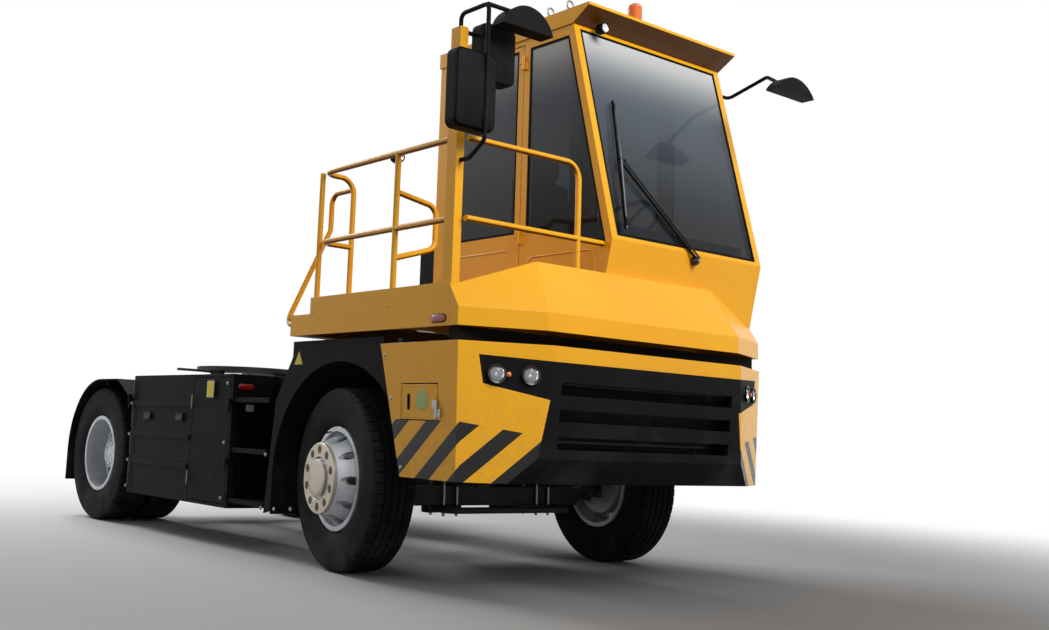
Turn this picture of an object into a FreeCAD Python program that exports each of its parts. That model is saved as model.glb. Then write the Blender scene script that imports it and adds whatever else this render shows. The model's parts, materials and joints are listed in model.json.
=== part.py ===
import FreeCAD, Part
import Sketcher
import math
import os
import re

# Terminal tractor: a port and yard tractor with an offset cab, a side
# platform with handrails, a lifting fifth wheel and twin rear tyres.
# +Z is up, the front looks along -Y, and +X is the vehicle's left side.
# The origin is on the ground, under the middle of the overall box.
# A "reach" is a distance forward of the front axle, a "back" one behind it.

os.makedirs("parts", exist_ok=True)
doc = FreeCAD.newDocument("TerminalTractor")
Vector = FreeCAD.Vector
Rotation = FreeCAD.Rotation

# Driving dimensions, in millimetres and degrees.

sizeGroups = {
    "vehicle": {
        "wheelBase": 3467,
        "frontAxleY": -1310,
        "halfWidth": 1250,
        "fitGap": 0.3,
        "hingeRadius": 9,
        "hingeHeight": 45,
        "hingeLeaf": 34,
        "hingeSunk": 4,
        "panelGap": 6,
        "cutPast": 60,
    },
    "wheels": {
        "tyreRadius": 530,
        "tyreHalfWidth": 138,
        "treadHalfWidth": 113,
        "shoulderHalfWidth": 132,
        "shoulderRadius": 508,
        "bulgeRadius": 420,
        "flangeRadius": 300,
        "beadRadius": 284,
        "rimHalfWidth": 118,
        "flangeDepth": 17,
        "rimWall": 12,
        "frontFlangeInset": 67,
        "hubFaceReach": 84,
        "rearFlangeInset": 50,
        "dualSpacing": 322,
        "discWall": 12,
        "discConeRadius": 262,
        "discConeReach": 74,
        "discFaceRadius": 206,
        "handHoleCircle": 236,
        "handHoleRadius": 24,
        "handHoles": 10,
        "hubRadius": 118,
        "hubCapRadius": 92,
        "hubCapReach": 34,
        "drumRadius": 205,
        "drumDepth": 120,
        "frontDrumBack": 95,
        "spindleRadius": 45,
    },
    "front axle": {
        "kingpinX": 890,
        "kingpinRadius": 24,
        "eyeRadius": 50,
        "eyeHeight": 120,
        "earHeight": 40,
        "earRadius": 44,
        "knucklePlateIn": 58,
        "knucklePlateWall": 16,
        "steerAngle": 8.1,
        "beamHeight": 110,
        "beamHalfDepth": 45,
        "beamTop": 495,
        "beamFlat": 62,
        "beamRise": 230,
        "steerArmBack": 170,
        "steerArmWidth": 40,
        "steerArmWall": 26,
        "tieRodRadius": 18,
        "tiePinRadius": 12,
        "springX": 430,
        "springWidth": 80,
        "springHalfLength": 700,
        "springStack": 66,
        "springCurve": 2400,
        "hangerLength": 90,
    },
    "chassis": {
        "railX": 430,
        "railTop": 1000,
        "railHeight": 290,
        "railFlange": 85,
        "railWall": 10,
        "railReach": 1100,
        "railBack": 4040,
        "crossDepth": 80,
        "midCrossBack": 760,
        "noseBeamReach": 1000,
        "noseBeamHeight": 120,
        "mountReach": 640,
        "mountBack": 400,
        "rearTubeRadius": 85,
        "rearTubeHalf": 640,
        "rearSpindleRadius": 60,
        "diffRadius": 205,
        "shaftRadius": 50,
        "radiatorHalf": 640,
        "radiatorDepth": 70,
        "radiatorBottom": 770,
        "radiatorTop": 1240,
        "engineHalfWidth": 330,
        "engineReach": 800,
        "engineBack": 200,
        "engineBottom": 575,
        "engineTop": 1330,
        "gearboxBack": 560,
        "gearboxBottom": 440,
        "gearboxTop": 860,
        "towWall": 26,
        "towGap": 60,
        "towZ": 640,
        "towReach": 90,
        "towHalfWidth": 75,
        "towPinRadius": 20,
    },
    "nose": {
        "fasciaTop": 1295,
        "fasciaBottom": 580,
        "valanceTop": 711,
        "noseReach": 1332,
        "valanceReach": 1283,
        "valanceFoot": 1214,
        "kinkX": 768,
        "valanceKinkX": 836,
        "footKinkX": 977,
        "cornerReach": 1111,
        "cornerFoot": 1100,
        "footInset": 24,
        "fasciaRearTop": 443,
        "fasciaRearFoot": 636,
        "fasciaWall": 30,
        "maskTop": 1212,
        "maskOuterTop": 1228,
        "maskOuterX": 1145,
        "maskOuterFootX": 1118,
        "maskOuterFoot": 1082,
        "maskInnerX": 780,
        "maskInnerZ": 1012,
        "slotHalfWidth": 705,
        "slotHeight": 66,
        "slotLowest": 760,
        "slotPitch": 141,
        "slotCount": 3,
        "lampRadius": 44,
        "lampDepth": 55,
        "lampZ": 1133,
        "outerLampX": 1058,
        "innerLampX": 891,
        "markerRadius": 13,
        "markerLampX": 1000,
        "accessReach": 956,
        "accessLength": 317,
        "accessBottom": 880,
        "accessHeight": 197,
    },
    "hood": {
        "hoodBottom": 1372,
        "hoodBand": 1470,
        "hoodReach": 1293,
        "hoodKinkX": 795,
        "hoodCorner": 1104,
        "hoodRear": 1030,
        "peakX": 731,
        "peakReach": 1130,
        "ridgeRear": 1092,
        "peakZ": 1759,
        "hoodWall": 16,
    },
    "platform": {
        "deckZ": 1500,
        "deckWall": 10,
        "skirtWall": 8,
        "kickTop": 1600,
        "kickBack": 303,
        "platformBack": 518,
        "beamWidth": 80,
    },
    "rails": {
        "tubeRadius": 17,
        "topRailZ": 2373,
        "midRailZ": 1941,
        "sideRailInset": 26,
        "rearPostBack": 277,
        "thirdPostReach": 497,
        "frontRailReach": 1058,
        "frontLegX": 355,
        "gateLegX": 990,
        "gripX": 937,
        "gripTop": 2104,
        "gripBottom": 1862,
        "gripRise": 47,
        "gripFall": 88,
        "stairRailZ": 2310,
        "stairTopBack": 519,
        "stairBendZ": 2081,
        "stairFootBack": 624,
        "stairFootZ": 1448,
        "railBend": 100,
        "smallBend": 70,
        "postInset": 10,
        "postWidth": 54,
        "postReach": 1028,
        "postDepth": 78,
        "postTop": 2985,
    },
    "cab": {
        "cabRight": 148,
        "cabLeft": 1240,
        "cabBack": 500,
        "waistZ": 1966,
        "waistReach": 1130,
        "cabFootReach": 1030,
        "screenTop": 3338,
        "screenTopReach": 781,
        "roofTop": 3440,
        "visorReach": 916,
        "visorLip": 18,
        "eave": 9,
        "cabWall": 46,
        "pillarWidth": 50,
        "screenSill": 24,
        "doorReach": 354,
        "doorBack": 374,
        "doorBottom": 1560,
        "doorTop": 3304,
        "doorWall": 36,
        "doorFrame": 53,
        "beltZ": 2076,
        "quarterReach": 405,
        "quarterFrontZ": 1951,
        "glassTop": 3272,
        "glassWall": 6,
        "glassInset": 5,
        "rearGlassInset": 90,
        "wiperX": 584,
        "wiperZ": 1918,
        "boxBack": 650,
        "rearBoxWidth": 420,
        "rearBoxTop": 2069,
    },
    "cab inside": {
        "seatX": 560,
        "seatReach": 300,
        "seatDepth": 480,
        "seatWidth": 500,
        "seatTop": 2060,
        "seatCushion": 120,
        "seatBackWall": 120,
        "seatBackTop": 2760,
        "seatBaseRadius": 150,
        "dashInset": 120,
        "dashDepth": 330,
        "dashTop": 2090,
        "dashBottom": 1700,
        "steerWheelRadius": 220,
        "steerRimRadius": 15,
        "steerWheelReach": 590,
        "steerWheelZ": 2200,
        "steerTilt": 35,
        "columnRadius": 26,
        "steerHubDepth": 40,
        "steerHubRadius": 42,
        "steerSpokeRadius": 10.5,
    },
    "fifth wheel": {
        "plateBack": 3190,
        "plateTop": 1285,
        "plateWall": 36,
        "plateRadius": 455,
        "kingpinBore": 25.8,
        "jawRadius": 72,
        "throatHalfWidth": 190,
        "throatStart": 60,
        "trunnionRadius": 30,
        "trunnionDrop": 95,
        "lugFoot": 45,
        "lugWall": 40,
        "lugHalfDepth": 90,
        "releaseRadius": 11,
        "releaseReach": 180,
        "boomPivotBack": 1480,
        "boomPivotZ": 905,
        "boomPinRadius": 32,
        "boomSleeveRadius": 58,
        "boomArmX": 290,
        "boomArmWall": 70,
        "boomTailReach": 80,
        "boomHalfHeight": 75,
        "boomKneeBack": 2750,
        "boomKneeTop": 1060,
        "boomKneeFoot": 925,
        "boomHeadRise": 25,
        "boomTieBack": 2930,
        "boomTieZ": 1050,
        "liftFootBack": 2450,
        "liftFootZ": 700,
        "liftEyeBack": 2780,
        "liftEyeZ": 985,
        "liftX": 150,
        "barrelRadius": 52,
        "barrelLength": 345,
        "liftEyeRadius": 40,
        "liftEyeWall": 50,
        "liftPinRadius": 22,
        "liftNeckRadius": 20,
        "rodRadius": 24,
        "rodHeadGap": 18,
        "footBeamReach": 156,
    },
    "side boxes": {
        "boxInset": 30,
        "boxDepth": 620,
        "boxFrontBack": 1256,
        "boxRearReach": 632,
        "boxBottom": 261,
        "boxTop": 1150,
        "boxWall": 20,
        "boxDoorBack": 1845,
        "ledgeReach": 14,
        "ledgeHeight": 36,
        "ledgeTopZ": 935,
        "ledgeMiddleZ": 708,
        "ledgeLowZ": 505,
        "tankInset": 50,
        "tankDepth": 600,
        "tankFrontBack": 1320,
        "tankLength": 1180,
        "tankBottom": 330,
        "tankHeight": 620,
        "tankRound": 110,
        "stepFrontBack": 800,
        "stepDepth": 320,
        "stepWall": 30,
        "stepLowest": 300,
        "stepPitch": 330,
        "stepCount": 3,
        "stepSide": 12,
    },
    "arches": {
        "archInset": 30,
        "archWall": 8,
        "archRadius": 688,
        "archCentreZ": 520,
        "archTopBack": 517,
        "archTopZ": 1245,
        "archKneeBack": 691,
        "archKneeZ": 977,
        "archFootBack": 768,
        "archFootZ": 272,
        "archInnerX": 600,
        "archCap": 1340,
        "archReach": 452,
    },
    "mudguards": {
        "guardRadius": 598,
        "guardWall": 8,
        "guardCentreZ": 530,
        "guardCentreReach": 30,
        "guardFlatReach": 367,
        "guardSlopeReach": 596,
        "guardSlopeZ": 1005,
        "guardFootReach": 624,
        "guardFootZ": 900,
        "guardInnerX": 600,
        "flapBottom": 286,
        "guardTubeRadius": 20,
    },
    "mirrors and lamps": {
        "mirrorTube": 12,
        "mirrorBend": 35,
        "loopX": 1208,
        "loopReach": 1215,
        "loopTop": 3066,
        "loopBottom": 2330,
        "loopFoot": 2252,
        "mainMirrorOut": 1400,
        "mainMirrorIn": 1130,
        "mainMirrorBottom": 2375,
        "mainMirrorTop": 2799,
        "mainMirrorReach": 1190,
        "mirrorDepth": 70,
        "mirrorRound": 40,
        "clampHeight": 60,
        "clampHalfWidth": 18,
        "sideMirrorOut": 1140,
        "sideMirrorIn": 898,
        "sideMirrorBottom": 2698,
        "sideMirrorTop": 3020,
        "sideMirrorReach": 1075,
        "kerbMirrorOut": 1130,
        "kerbMirrorIn": 770,
        "kerbMirrorBottom": 2975,
        "kerbMirrorTop": 3105,
        "kerbMirrorReach": 1250,
        "kerbMirrorDepth": 100,
        "armMirrorOut": 1400,
        "armMirrorIn": 1012,
        "armMirrorBottom": 3045,
        "armMirrorTop": 3150,
        "armMirrorReach": 1420,
        "armMirrorDepth": 90,
        "armFootInset": 15,
        "armFootZ": 3165,
        "armElbowX": 1325,
        "armElbowReach": 1118,
        "armElbowZ": 3250,
        "beaconX": 392,
        "beaconReach": 791,
        "beaconRadius": 46,
        "beaconHeight": 165,
        "beaconFootRadius": 55,
        "beaconFootHeight": 41,
        "markerLength": 124,
        "markerHeight": 46,
        "markerWall": 12,
        "hoodMarkerReach": 1010,
        "hoodMarkerZ": 1412,
        "stepMarkerBack": 1030,
        "stepMarkerZ": 1060,
        "workLampX": 26,
        "workLampReach": 850,
        "workLampRadius": 34,
        "railLampReach": 411,
        "tailLampWidth": 130,
        "tailLampHeight": 100,
        "tailLampDepth": 60,
        "tailLampZ": 780,
        "wiperTipX": 53,
        "wiperTipZ": 2844,
        "wiperHeelX": -33,
        "wiperHeelZ": 2055,
        "wiperJointX": 12,
        "wiperJointZ": 2469,
        "wiperStand": 26,
        "wiperRadius": 9,
        "wiperBend": 30,
        "bracketHeight": 100,
        "boxBracketBack": 1500,
        "boxBracketSpan": 900,
        "fenderBracketDrop": 2,
        "guardTubeReach": 320,
    },
}

sheet = doc.addObject("Spreadsheet::Sheet", "sizes")
row = 0
for group, cells in sizeGroups.items():
    row += 1
    sheet.set("A%d" % row, group)
    for name, size in cells.items():
        row += 1
        sheet.set("A%d" % row, name)
        sheet.set("B%d" % row, str(size))
        sheet.setAlias("B%d" % row, name)
doc.recompute()
sizeNames = {name for cells in sizeGroups.values() for name in cells}

# Places worked out from the driving dimensions.

placeFormulas = {
    "rearAxleY": "frontAxleY + wheelBase",
    "noseY": "frontAxleY - noseReach",
    "deckBackY": "frontAxleY + platformBack",
    "cabBackY": "frontAxleY + cabBack",
    "railBottom": "railTop - railHeight",
    "frontWheelOut": "frontFlangeX - rimHalfWidth - kingpinX",
    "rearOuterX": "rearFlangeX - rimHalfWidth",
    "rearInnerX": "rearOuterX - dualSpacing",
    "barrelRadiusIn": "beadRadius - rimWall",
    "hubFaceX": "rimHalfWidth + hubFaceReach",
    "eyeBottom": "tyreRadius - eyeHeight / 2",
    "eyeTop": "tyreRadius + eyeHeight / 2",
    "beamBottom": "beamTop - beamHeight",
    "armZ": "eyeBottom - earHeight - fitGap - steerArmWall",
    "valanceShare": "(fasciaTop - valanceTop) / (fasciaTop - fasciaBottom)",
    "valanceInset": "footInset * valanceShare",
    "valanceCorner": "cornerReach + (cornerFoot - cornerReach) * valanceShare",
    "valanceRear": "fasciaRearTop + (fasciaRearFoot - fasciaRearTop) * valanceShare",
    "plateY": "frontAxleY + plateBack",
    "trunnionZ": "plateTop - trunnionDrop",
    "boomPivotY": "frontAxleY + boomPivotBack",
    "liftFootY": "frontAxleY + liftFootBack",
    "liftEyeY": "frontAxleY + liftEyeBack",
    "guardY": "rearAxleY - guardCentreReach",
    "springTopZ": "beamTop + fitGap + springCurve"
                  " - sqrt((springCurve - springStack) ^ 2 - springHalfLength ^ 2)",
    "visorSlope": "(roofTop - visorLip - screenTop) / (visorReach - screenTopReach)",
    "visorLampZ": "screenTop + (workLampReach - workLampRadius - screenTopReach) * visorSlope"
                  " - workLampRadius - fitGap",
    "noseBeamLean": "footInset * (fasciaTop - hoodBottom + noseBeamHeight)"
                    " / (fasciaTop - fasciaBottom)",
    "accessHingeZ": "accessBottom + hingeLeaf / 2",
    "accessLean": "footInset * (fasciaTop - accessHingeZ - 2 * hingeHeight - 2 * fitGap)"
                  " / (fasciaTop - fasciaBottom)",
    "boxX": "halfWidth - boxInset",
    "tankX": "halfWidth - tankInset",
    "archX": "halfWidth - archInset",
    "frontFlangeX": "halfWidth - frontFlangeInset",
    "rearFlangeX": "halfWidth - rearFlangeInset",
    "sideRailX": "halfWidth - sideRailInset",
    "postX": "halfWidth - postInset",
    "boxRearBack": "wheelBase - boxRearReach",
    "boxIn": "boxX - boxDepth",
    "stepIn": "boxX - stepSide - stepDepth",
    "screenSlope": "(waistReach - screenTopReach) / (screenTop - waistZ)",
    "armFootReach": "waistReach - screenSlope * (armFootZ - waistZ) - armFootInset",
    "dashReach": "waistReach - dashInset",
    "footSlope": "(waistReach - cabFootReach) / (waistZ - deckZ)",
    "steerWheelY": "frontAxleY - steerWheelReach",
    "seatY": "frontAxleY - seatReach",
}
places = doc.addObject("App::VarSet", "places")


def bound(formula):
    """Name the sheet or the place table in front of each of its words."""
    def owner(match):
        word = match.group()
        if word in sizeNames:
            return "sizes." + word
        return "places." + word if word in placeFormulas else word
    return re.sub(r"[A-Za-z]\w*", owner, str(formula))


for name in placeFormulas:
    places.addProperty("App::PropertyFloat", name)
for name, formula in placeFormulas.items():
    places.setExpression(name, bound(formula))
doc.recompute()


def size(name):
    """The number behind a word, for shapes made in this code."""
    return sheet.get(name) if name in sizeNames else getattr(places, name)


# Helpers: each makes one document object bound to the sizes.

axisTurns = {
    "x": Rotation(Vector(0, 1, 0), 90),
    "y": Rotation(Vector(1, 0, 0), -90),
    "z": Rotation(),
}
planeTurns = {
    "x": Rotation(Vector(1, 1, 1), 120),
    "y": Rotation(Vector(1, 0, 0), 90),
    "z": Rotation(),
}
pushes = {"x": Vector(1, 0, 0), "y": Vector(0, 1, 0), "z": Vector(0, 0, 1)}


def bind(thing, **formulas):
    for prop, formula in formulas.items():
        thing.setExpression(prop, bound(formula))
    return thing


def place(thing, base, turn=None):
    if turn is not None:
        thing.Placement = FreeCAD.Placement(Vector(), turn)
    for axis, formula in zip("xyz", base):
        thing.setExpression("Placement.Base." + axis, bound(formula))
    return thing


def block(low, high):
    """A box from its lowest corner to its highest."""
    box = doc.addObject("Part::Box", "block")
    spans = ["(%s) - (%s)" % (top, bottom) for bottom, top in zip(low, high)]
    bind(box, Length=spans[0], Width=spans[1], Height=spans[2])
    return place(box, low)


def round_bar(axis, radius, length, base):
    bar = doc.addObject("Part::Cylinder", "bar")
    bind(bar, Radius=radius, Height=length)
    return place(bar, base, axisTurns[axis])


def through_bar(axis, radius, low, high, at):
    """A round bar between two places along an axis; at gives the other two."""
    base = list(at)
    base.insert("xyz".index(axis), low)
    return round_bar(axis, radius, "(%s) - (%s)" % (high, low), base)


def outline(axis, points, start="0"):
    """A closed sketch in the plane across an axis, one bound point at a time."""
    sketch = doc.addObject("Sketcher::SketchObject", "outline")
    sketch.Placement = FreeCAD.Placement(Vector(), planeTurns[axis])
    count = len(points)
    spots = [Vector(math.cos(2 * math.pi * i / count), math.sin(2 * math.pi * i / count), 0)
             for i in range(count)]
    for i in range(count):
        sketch.addGeometry(Part.LineSegment(spots[i], spots[(i + 1) % count]), False)
    for i in range(count):
        sketch.addConstraint(Sketcher.Constraint("Coincident", i, 2, (i + 1) % count, 1))
        for kind, formula in zip(("DistanceX", "DistanceY"), points[i]):
            number = sketch.addConstraint(Sketcher.Constraint(kind, -1, 1, i, 1, 1.0))
            sketch.setExpression("Constraints[%d]" % number, bound(formula))
    sketch.setExpression("Placement.Base." + axis, bound(start))
    return sketch


def prism(axis, points, low, high):
    """An outline pushed along an axis from low to high."""
    solid = doc.addObject("Part::Extrusion", "prism")
    solid.Base = outline(axis, points, low)
    solid.DirMode = "Custom"
    solid.Dir = pushes[axis]
    solid.Solid = True
    return bind(solid, LengthFwd="(%s) - (%s)" % (high, low))


def turned(points, base=("0", "0", "0")):
    """A ring with its axis along X; each point is a place along X and a radius."""
    ring = doc.addObject("Part::Revolution", "ring")
    ring.Source = outline("z", points)
    ring.Axis = Vector(1, 0, 0)
    ring.Angle = 360
    ring.Solid = True
    return place(ring, base)


def loft(levels):
    """Flat outlines at rising heights, joined by straight sides."""
    solid = doc.addObject("Part::Loft", "loft")
    solid.Sections = [outline("z", points, height) for height, points in levels]
    solid.Solid = True
    solid.Ruled = True
    return solid


def fused(*pieces):
    group = doc.addObject("Part::MultiFuse", "fused")
    group.Shapes = list(pieces)
    group.Refine = True
    return group


def cut(whole, *tools):
    result = doc.addObject("Part::Cut", "cut")
    result.Base = whole
    result.Tool = tools[0] if len(tools) == 1 else fused(*tools)
    return result


def common(first, second):
    group = doc.addObject("Part::MultiCommon", "common")
    group.Shapes = [first, second]
    return group


def mirrored(piece):
    copy = doc.addObject("Part::Mirroring", "mirrored")
    copy.Source = piece
    copy.Normal = Vector(1, 0, 0)
    return copy


def gathered(*pieces):
    """Several solids that don't touch, kept apart in one piece."""
    group = doc.addObject("Part::Compound", "gathered")
    group.Links = list(pieces)
    return group


def both_sides(piece):
    return gathered(piece, mirrored(piece))


def mirror_points(points):
    """Points on one side of X = 0, followed back along the other side."""
    return points + [("-(%s)" % first, second) for first, second in reversed(points)]


def hinge_leaves(x, y, heights, out, swing):
    """Leaves of a vertical hinge on an outer face, fixed ones and moving ones.

    x is the face, out the side it faces, and swing the side of the moving leaf along Y."""
    pin = "%s + %d * (hingeRadius + fitGap)" % (x, out)
    sunk = "%s - %d * hingeSunk" % (x, out)
    leaves = []
    for moving in (0, 1):
        group = []
        for height in heights:
            foot = "%s + %d * (hingeHeight + fitGap)" % (height, moving)
            top = foot + " + hingeHeight"
            along = swing if moving else -swing
            spanX = [pin, sunk] if out < 0 else [sunk, pin]
            spanY = [y, "%s + %d * hingeLeaf" % (y, along)]
            if along < 0:
                spanY.reverse()
            group.append(through_bar("z", "hingeRadius", foot, top, (pin, y)))
            group.append(block((spanX[0], spanY[0], foot), (spanX[1], spanY[1], top)))
        leaves.append(fused(*group))
    return leaves


nodes = {}


def node(name, thing):
    thing.Label = name
    nodes[name] = thing
    return thing


def bent_path(corners, bend):
    """A wire of straight runs with a tangent arc at each inner corner."""
    edges = []
    start = corners[0]
    for i in range(1, len(corners) - 1):
        corner = corners[i]
        back = (corners[i - 1] - corner).normalize()
        ahead = (corners[i + 1] - corner).normalize()
        half = back.getAngle(ahead) / 2
        reach = bend / math.tan(half)
        first = corner + back * reach
        last = corner + ahead * reach
        inward = (back + ahead).normalize()
        middle = corner + inward * (bend / math.sin(half) - bend)
        edges.append(Part.makeLine(start, first))
        edges.append(Part.Arc(first, middle, last).toShape())
        start = last
    edges.append(Part.makeLine(start, corners[-1]))
    return Part.Wire(edges)


def tube(radius, bend, *corners):
    """A round tube of a named radius, swept along a bent path."""
    path = doc.addObject("Part::Feature", "path")
    path.Shape = bent_path([Vector(*corner) for corner in corners], bend)
    section = doc.addObject("Part::Circle", "section")
    heading = path.Shape.Edges[0].tangentAt(path.Shape.Edges[0].FirstParameter)
    start = Vector(*corners[0])
    section.Placement = FreeCAD.Placement(start, Rotation(Vector(0, 0, 1), heading))
    bind(section, Radius=radius)
    sweep = doc.addObject("Part::Sweep", "tube")
    sweep.Sections = [section]
    sweep.Spine = (path, ["Edge%d" % (i + 1) for i in range(len(path.Shape.Edges))])
    sweep.Solid = True
    sweep.Frenet = False
    return sweep


# Wheels.


def tyre(base):
    """One tyre about the X axis, centred on its base."""
    side = [
        ("treadHalfWidth", "tyreRadius"),
        ("shoulderHalfWidth", "shoulderRadius"),
        ("tyreHalfWidth", "bulgeRadius"),
        ("rimHalfWidth - flangeDepth - fitGap", "flangeRadius + fitGap"),
        ("rimHalfWidth - flangeDepth - fitGap", "beadRadius + fitGap"),
    ]
    return turned(mirror_points(side), base)


def rim_barrel(base):
    side = [
        ("rimHalfWidth - flangeDepth", "beadRadius"),
        ("rimHalfWidth - flangeDepth", "flangeRadius"),
        ("rimHalfWidth", "flangeRadius"),
        ("rimHalfWidth", "barrelRadiusIn"),
    ]
    return turned(mirror_points(side), base)


def wheel_disc(base, out, face):
    """A dished disc: out is +1 or -1 along X, face is its seat on the hub."""
    near = "%s * discConeReach" % out
    points = [
        (near, "beadRadius - rimWall / 2"),
        (near, "discConeRadius"),
        ("%s * (%s)" % (out, face), "discFaceRadius"),
        ("%s * (%s)" % (out, face), "hubRadius - discWall"),
        ("%s * (%s - discWall)" % (out, face), "hubRadius - discWall"),
        ("%s * (%s - discWall)" % (out, face), "discFaceRadius - discWall"),
        ("%s * (discConeReach - discWall)" % out, "discConeRadius - discWall"),
        ("%s * (discConeReach - 2 * discWall)" % out, "beadRadius - rimWall / 2"),
    ]
    disc = turned(points)
    holes = []
    for i in range(int(size("handHoles"))):
        turn = 360 * (i + 0.5) / size("handHoles")
        spot = ("handHoleCircle * sin(%s)" % turn, "handHoleCircle * cos(%s)" % turn)
        holes.append(through_bar("x", "handHoleRadius", "-cutPast - hubFaceX",
                                 "cutPast + hubFaceX", spot))
    return place(cut(disc, *holes), base)


for name, side in (("right", -1), ("left", 1)):
    wheelX = "%d * frontWheelOut" % side
    centre = (wheelX, "0", "tyreRadius")
    steered = ("%d * kingpinX" % side, "frontAxleY", "0")

    rubber = node("front_tyre_" + name, gathered(tyre(centre)))
    hub = turned([
        ("%d * (-frontDrumBack)" % side, "spindleRadius + fitGap"),
        ("%d * (-frontDrumBack)" % side, "drumRadius"),
        ("%d * (drumDepth - frontDrumBack)" % side, "drumRadius"),
        ("%d * (drumDepth - frontDrumBack)" % side, "hubRadius"),
        ("%d * (hubFaceX + discWall)" % side, "hubRadius"),
        ("%d * (hubFaceX + discWall)" % side, "hubCapRadius"),
        ("%d * (hubFaceX + hubCapReach)" % side, "hubCapRadius"),
        ("%d * (hubFaceX + hubCapReach)" % side, "spindleRadius + fitGap"),
    ], centre)
    cap = turned([
        ("%d * (hubFaceX - discWall)" % side, "0"),
        ("%d * (hubFaceX - discWall)" % side, "spindleRadius + fitGap"),
        ("%d * (hubFaceX + hubCapReach)" % side, "spindleRadius + fitGap"),
        ("%d * (hubFaceX + hubCapReach)" % side, "0"),
    ], centre)
    disc = wheel_disc(centre, str(side), "hubFaceX")
    wheel = node("front_rim_" + name, fused(rim_barrel(centre), disc, hub, cap))

    plateNear = "%d * knucklePlateIn" % side
    plateFar = "%d * (knucklePlateIn + knucklePlateWall)" % side
    plateLow, plateHigh = (plateFar, plateNear) if side < 0 else (plateNear, plateFar)
    earLow, earHigh = (plateNear, "0") if side < 0 else ("0", plateNear)
    lowEar = "eyeBottom - earHeight - fitGap"
    highEar = "eyeTop + fitGap"
    knuckleParts = [
        block((plateLow, "-earRadius", lowEar), (plateHigh, "earRadius", "eyeTop + earHeight")),
        through_bar("z", "kingpinRadius", lowEar, "eyeTop + earHeight", ("0", "0")),
    ]
    for foot, top in ((lowEar, "eyeBottom - fitGap"), (highEar, "eyeTop + earHeight")):
        knuckleParts.append(through_bar("z", "earRadius", foot, top, ("0", "0")))
        knuckleParts.append(block((earLow, "-earRadius", foot), (earHigh, "earRadius", top)))
    spindleLow, spindleHigh = plateNear, "%d * (frontWheelOut + hubFaceX - 2 * discWall)" % side
    if side < 0:
        spindleLow, spindleHigh = spindleHigh, spindleLow
    knuckleParts.append(through_bar("x", "spindleRadius", spindleLow, spindleHigh,
                                    ("0", "tyreRadius")))
    knuckleParts.append(block(("-steerArmWidth / 2", "0", "armZ"),
                              ("steerArmWidth / 2", "steerArmBack", lowEar)))
    armEye = through_bar("z", "steerArmWidth / 2", "armZ", lowEar, ("0", "steerArmBack"))
    pinHole = through_bar("z", "tiePinRadius + fitGap", "armZ - cutPast",
                          lowEar, ("0", "steerArmBack"))
    knuckle = node("knuckle_" + name, cut(fused(*knuckleParts, armEye), pinHole))
    for piece in (rubber, wheel, knuckle):
        piece.Placement = FreeCAD.Placement(Vector(), Rotation(Vector(0, 0, -1), 1))
        piece.setExpression("Placement.Rotation.Angle", bound("steerAngle"))
        place(piece, steered)

# The tie rod joins the two steering arms, turned with them about the kingpins.

tieY = "frontAxleY + steerArmBack * cos(steerAngle)"
tieX = "steerArmBack * sin(steerAngle)"
tieZ = "armZ - fitGap - panelGap - tieRodRadius"
tieParts = [through_bar("x", "tieRodRadius", "%s - kingpinX" % tieX, "%s + kingpinX" % tieX,
                        (tieY, tieZ))]
for side in (-1, 1):
    endX = "%s + %d * kingpinX" % (tieX, side)
    tieParts.append(through_bar("z", "steerArmWidth / 2", tieZ + " - tieRodRadius",
                                "armZ - fitGap", (endX, tieY)))
    tieParts.append(through_bar("z", "tiePinRadius", tieZ, "armZ + steerArmWall",
                                (endX, tieY)))
node("tie_rod", fused(*tieParts))

# Front axle, springs, rear axle and driveline.

beamSide = [
    ("kingpinX - beamRise", "beamTop"),
    ("kingpinX - beamFlat", "eyeTop"),
    ("kingpinX", "eyeTop"),
    ("kingpinX", "eyeBottom"),
    ("kingpinX - beamFlat", "eyeBottom"),
    ("kingpinX - beamFlat - beamHeight", "beamBottom"),
]
beam = prism("y", mirror_points(beamSide), "frontAxleY - beamHalfDepth",
             "frontAxleY + beamHalfDepth")
eyes = [through_bar("z", "eyeRadius", "eyeBottom", "eyeTop", ("%d * kingpinX" % side, "frontAxleY"))
        for side in (-1, 1)]
bores = [through_bar("z", "kingpinRadius + fitGap", "eyeBottom - cutPast", "eyeTop + cutPast",
                     ("%d * kingpinX" % side, "frontAxleY")) for side in (-1, 1)]
node("front_axle", cut(fused(beam, *eyes), *bores))

curveZ = "beamTop + fitGap + springCurve"
springX = ("springX - springWidth", "springX")
leaf = cut(
    through_bar("x", "springCurve", *springX, ("frontAxleY", curveZ)),
    through_bar("x", "springCurve - springStack", "springX - springWidth - cutPast",
                "springX + cutPast", ("frontAxleY", curveZ)),
)
leafBox = block(("springX - springWidth", "frontAxleY - springHalfLength", "0"),
                ("springX", "frontAxleY + springHalfLength", "railTop"))
node("front_springs", both_sides(common(leaf, leafBox)))

rearDrumIn = "rearInnerX - drumDepth"
rearAxle = fused(
    round_bar("x", "rearTubeRadius", "2 * rearTubeHalf", ("-rearTubeHalf", "rearAxleY", "tyreRadius")),
    round_bar("x", "rearSpindleRadius", "2 * rearOuterX", ("-rearOuterX", "rearAxleY", "tyreRadius")),
    place(doc.addObject("Part::Sphere", "casing"), ("0", "rearAxleY", "tyreRadius")),
    through_bar("y", "rearTubeRadius", "rearAxleY - diffRadius - railFlange", "rearAxleY",
                ("0", "tyreRadius")),
    *[block((low, "rearAxleY - rearTubeRadius", "tyreRadius"),
            (high, "rearAxleY + rearTubeRadius", "railBottom"))
      for low, high in (("-railX", "railFlange - railX"), ("railX - railFlange", "railX"))],
)
bind(rearAxle.Shapes[2], Radius="diffRadius")
node("rear_axle", rearAxle)

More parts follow.
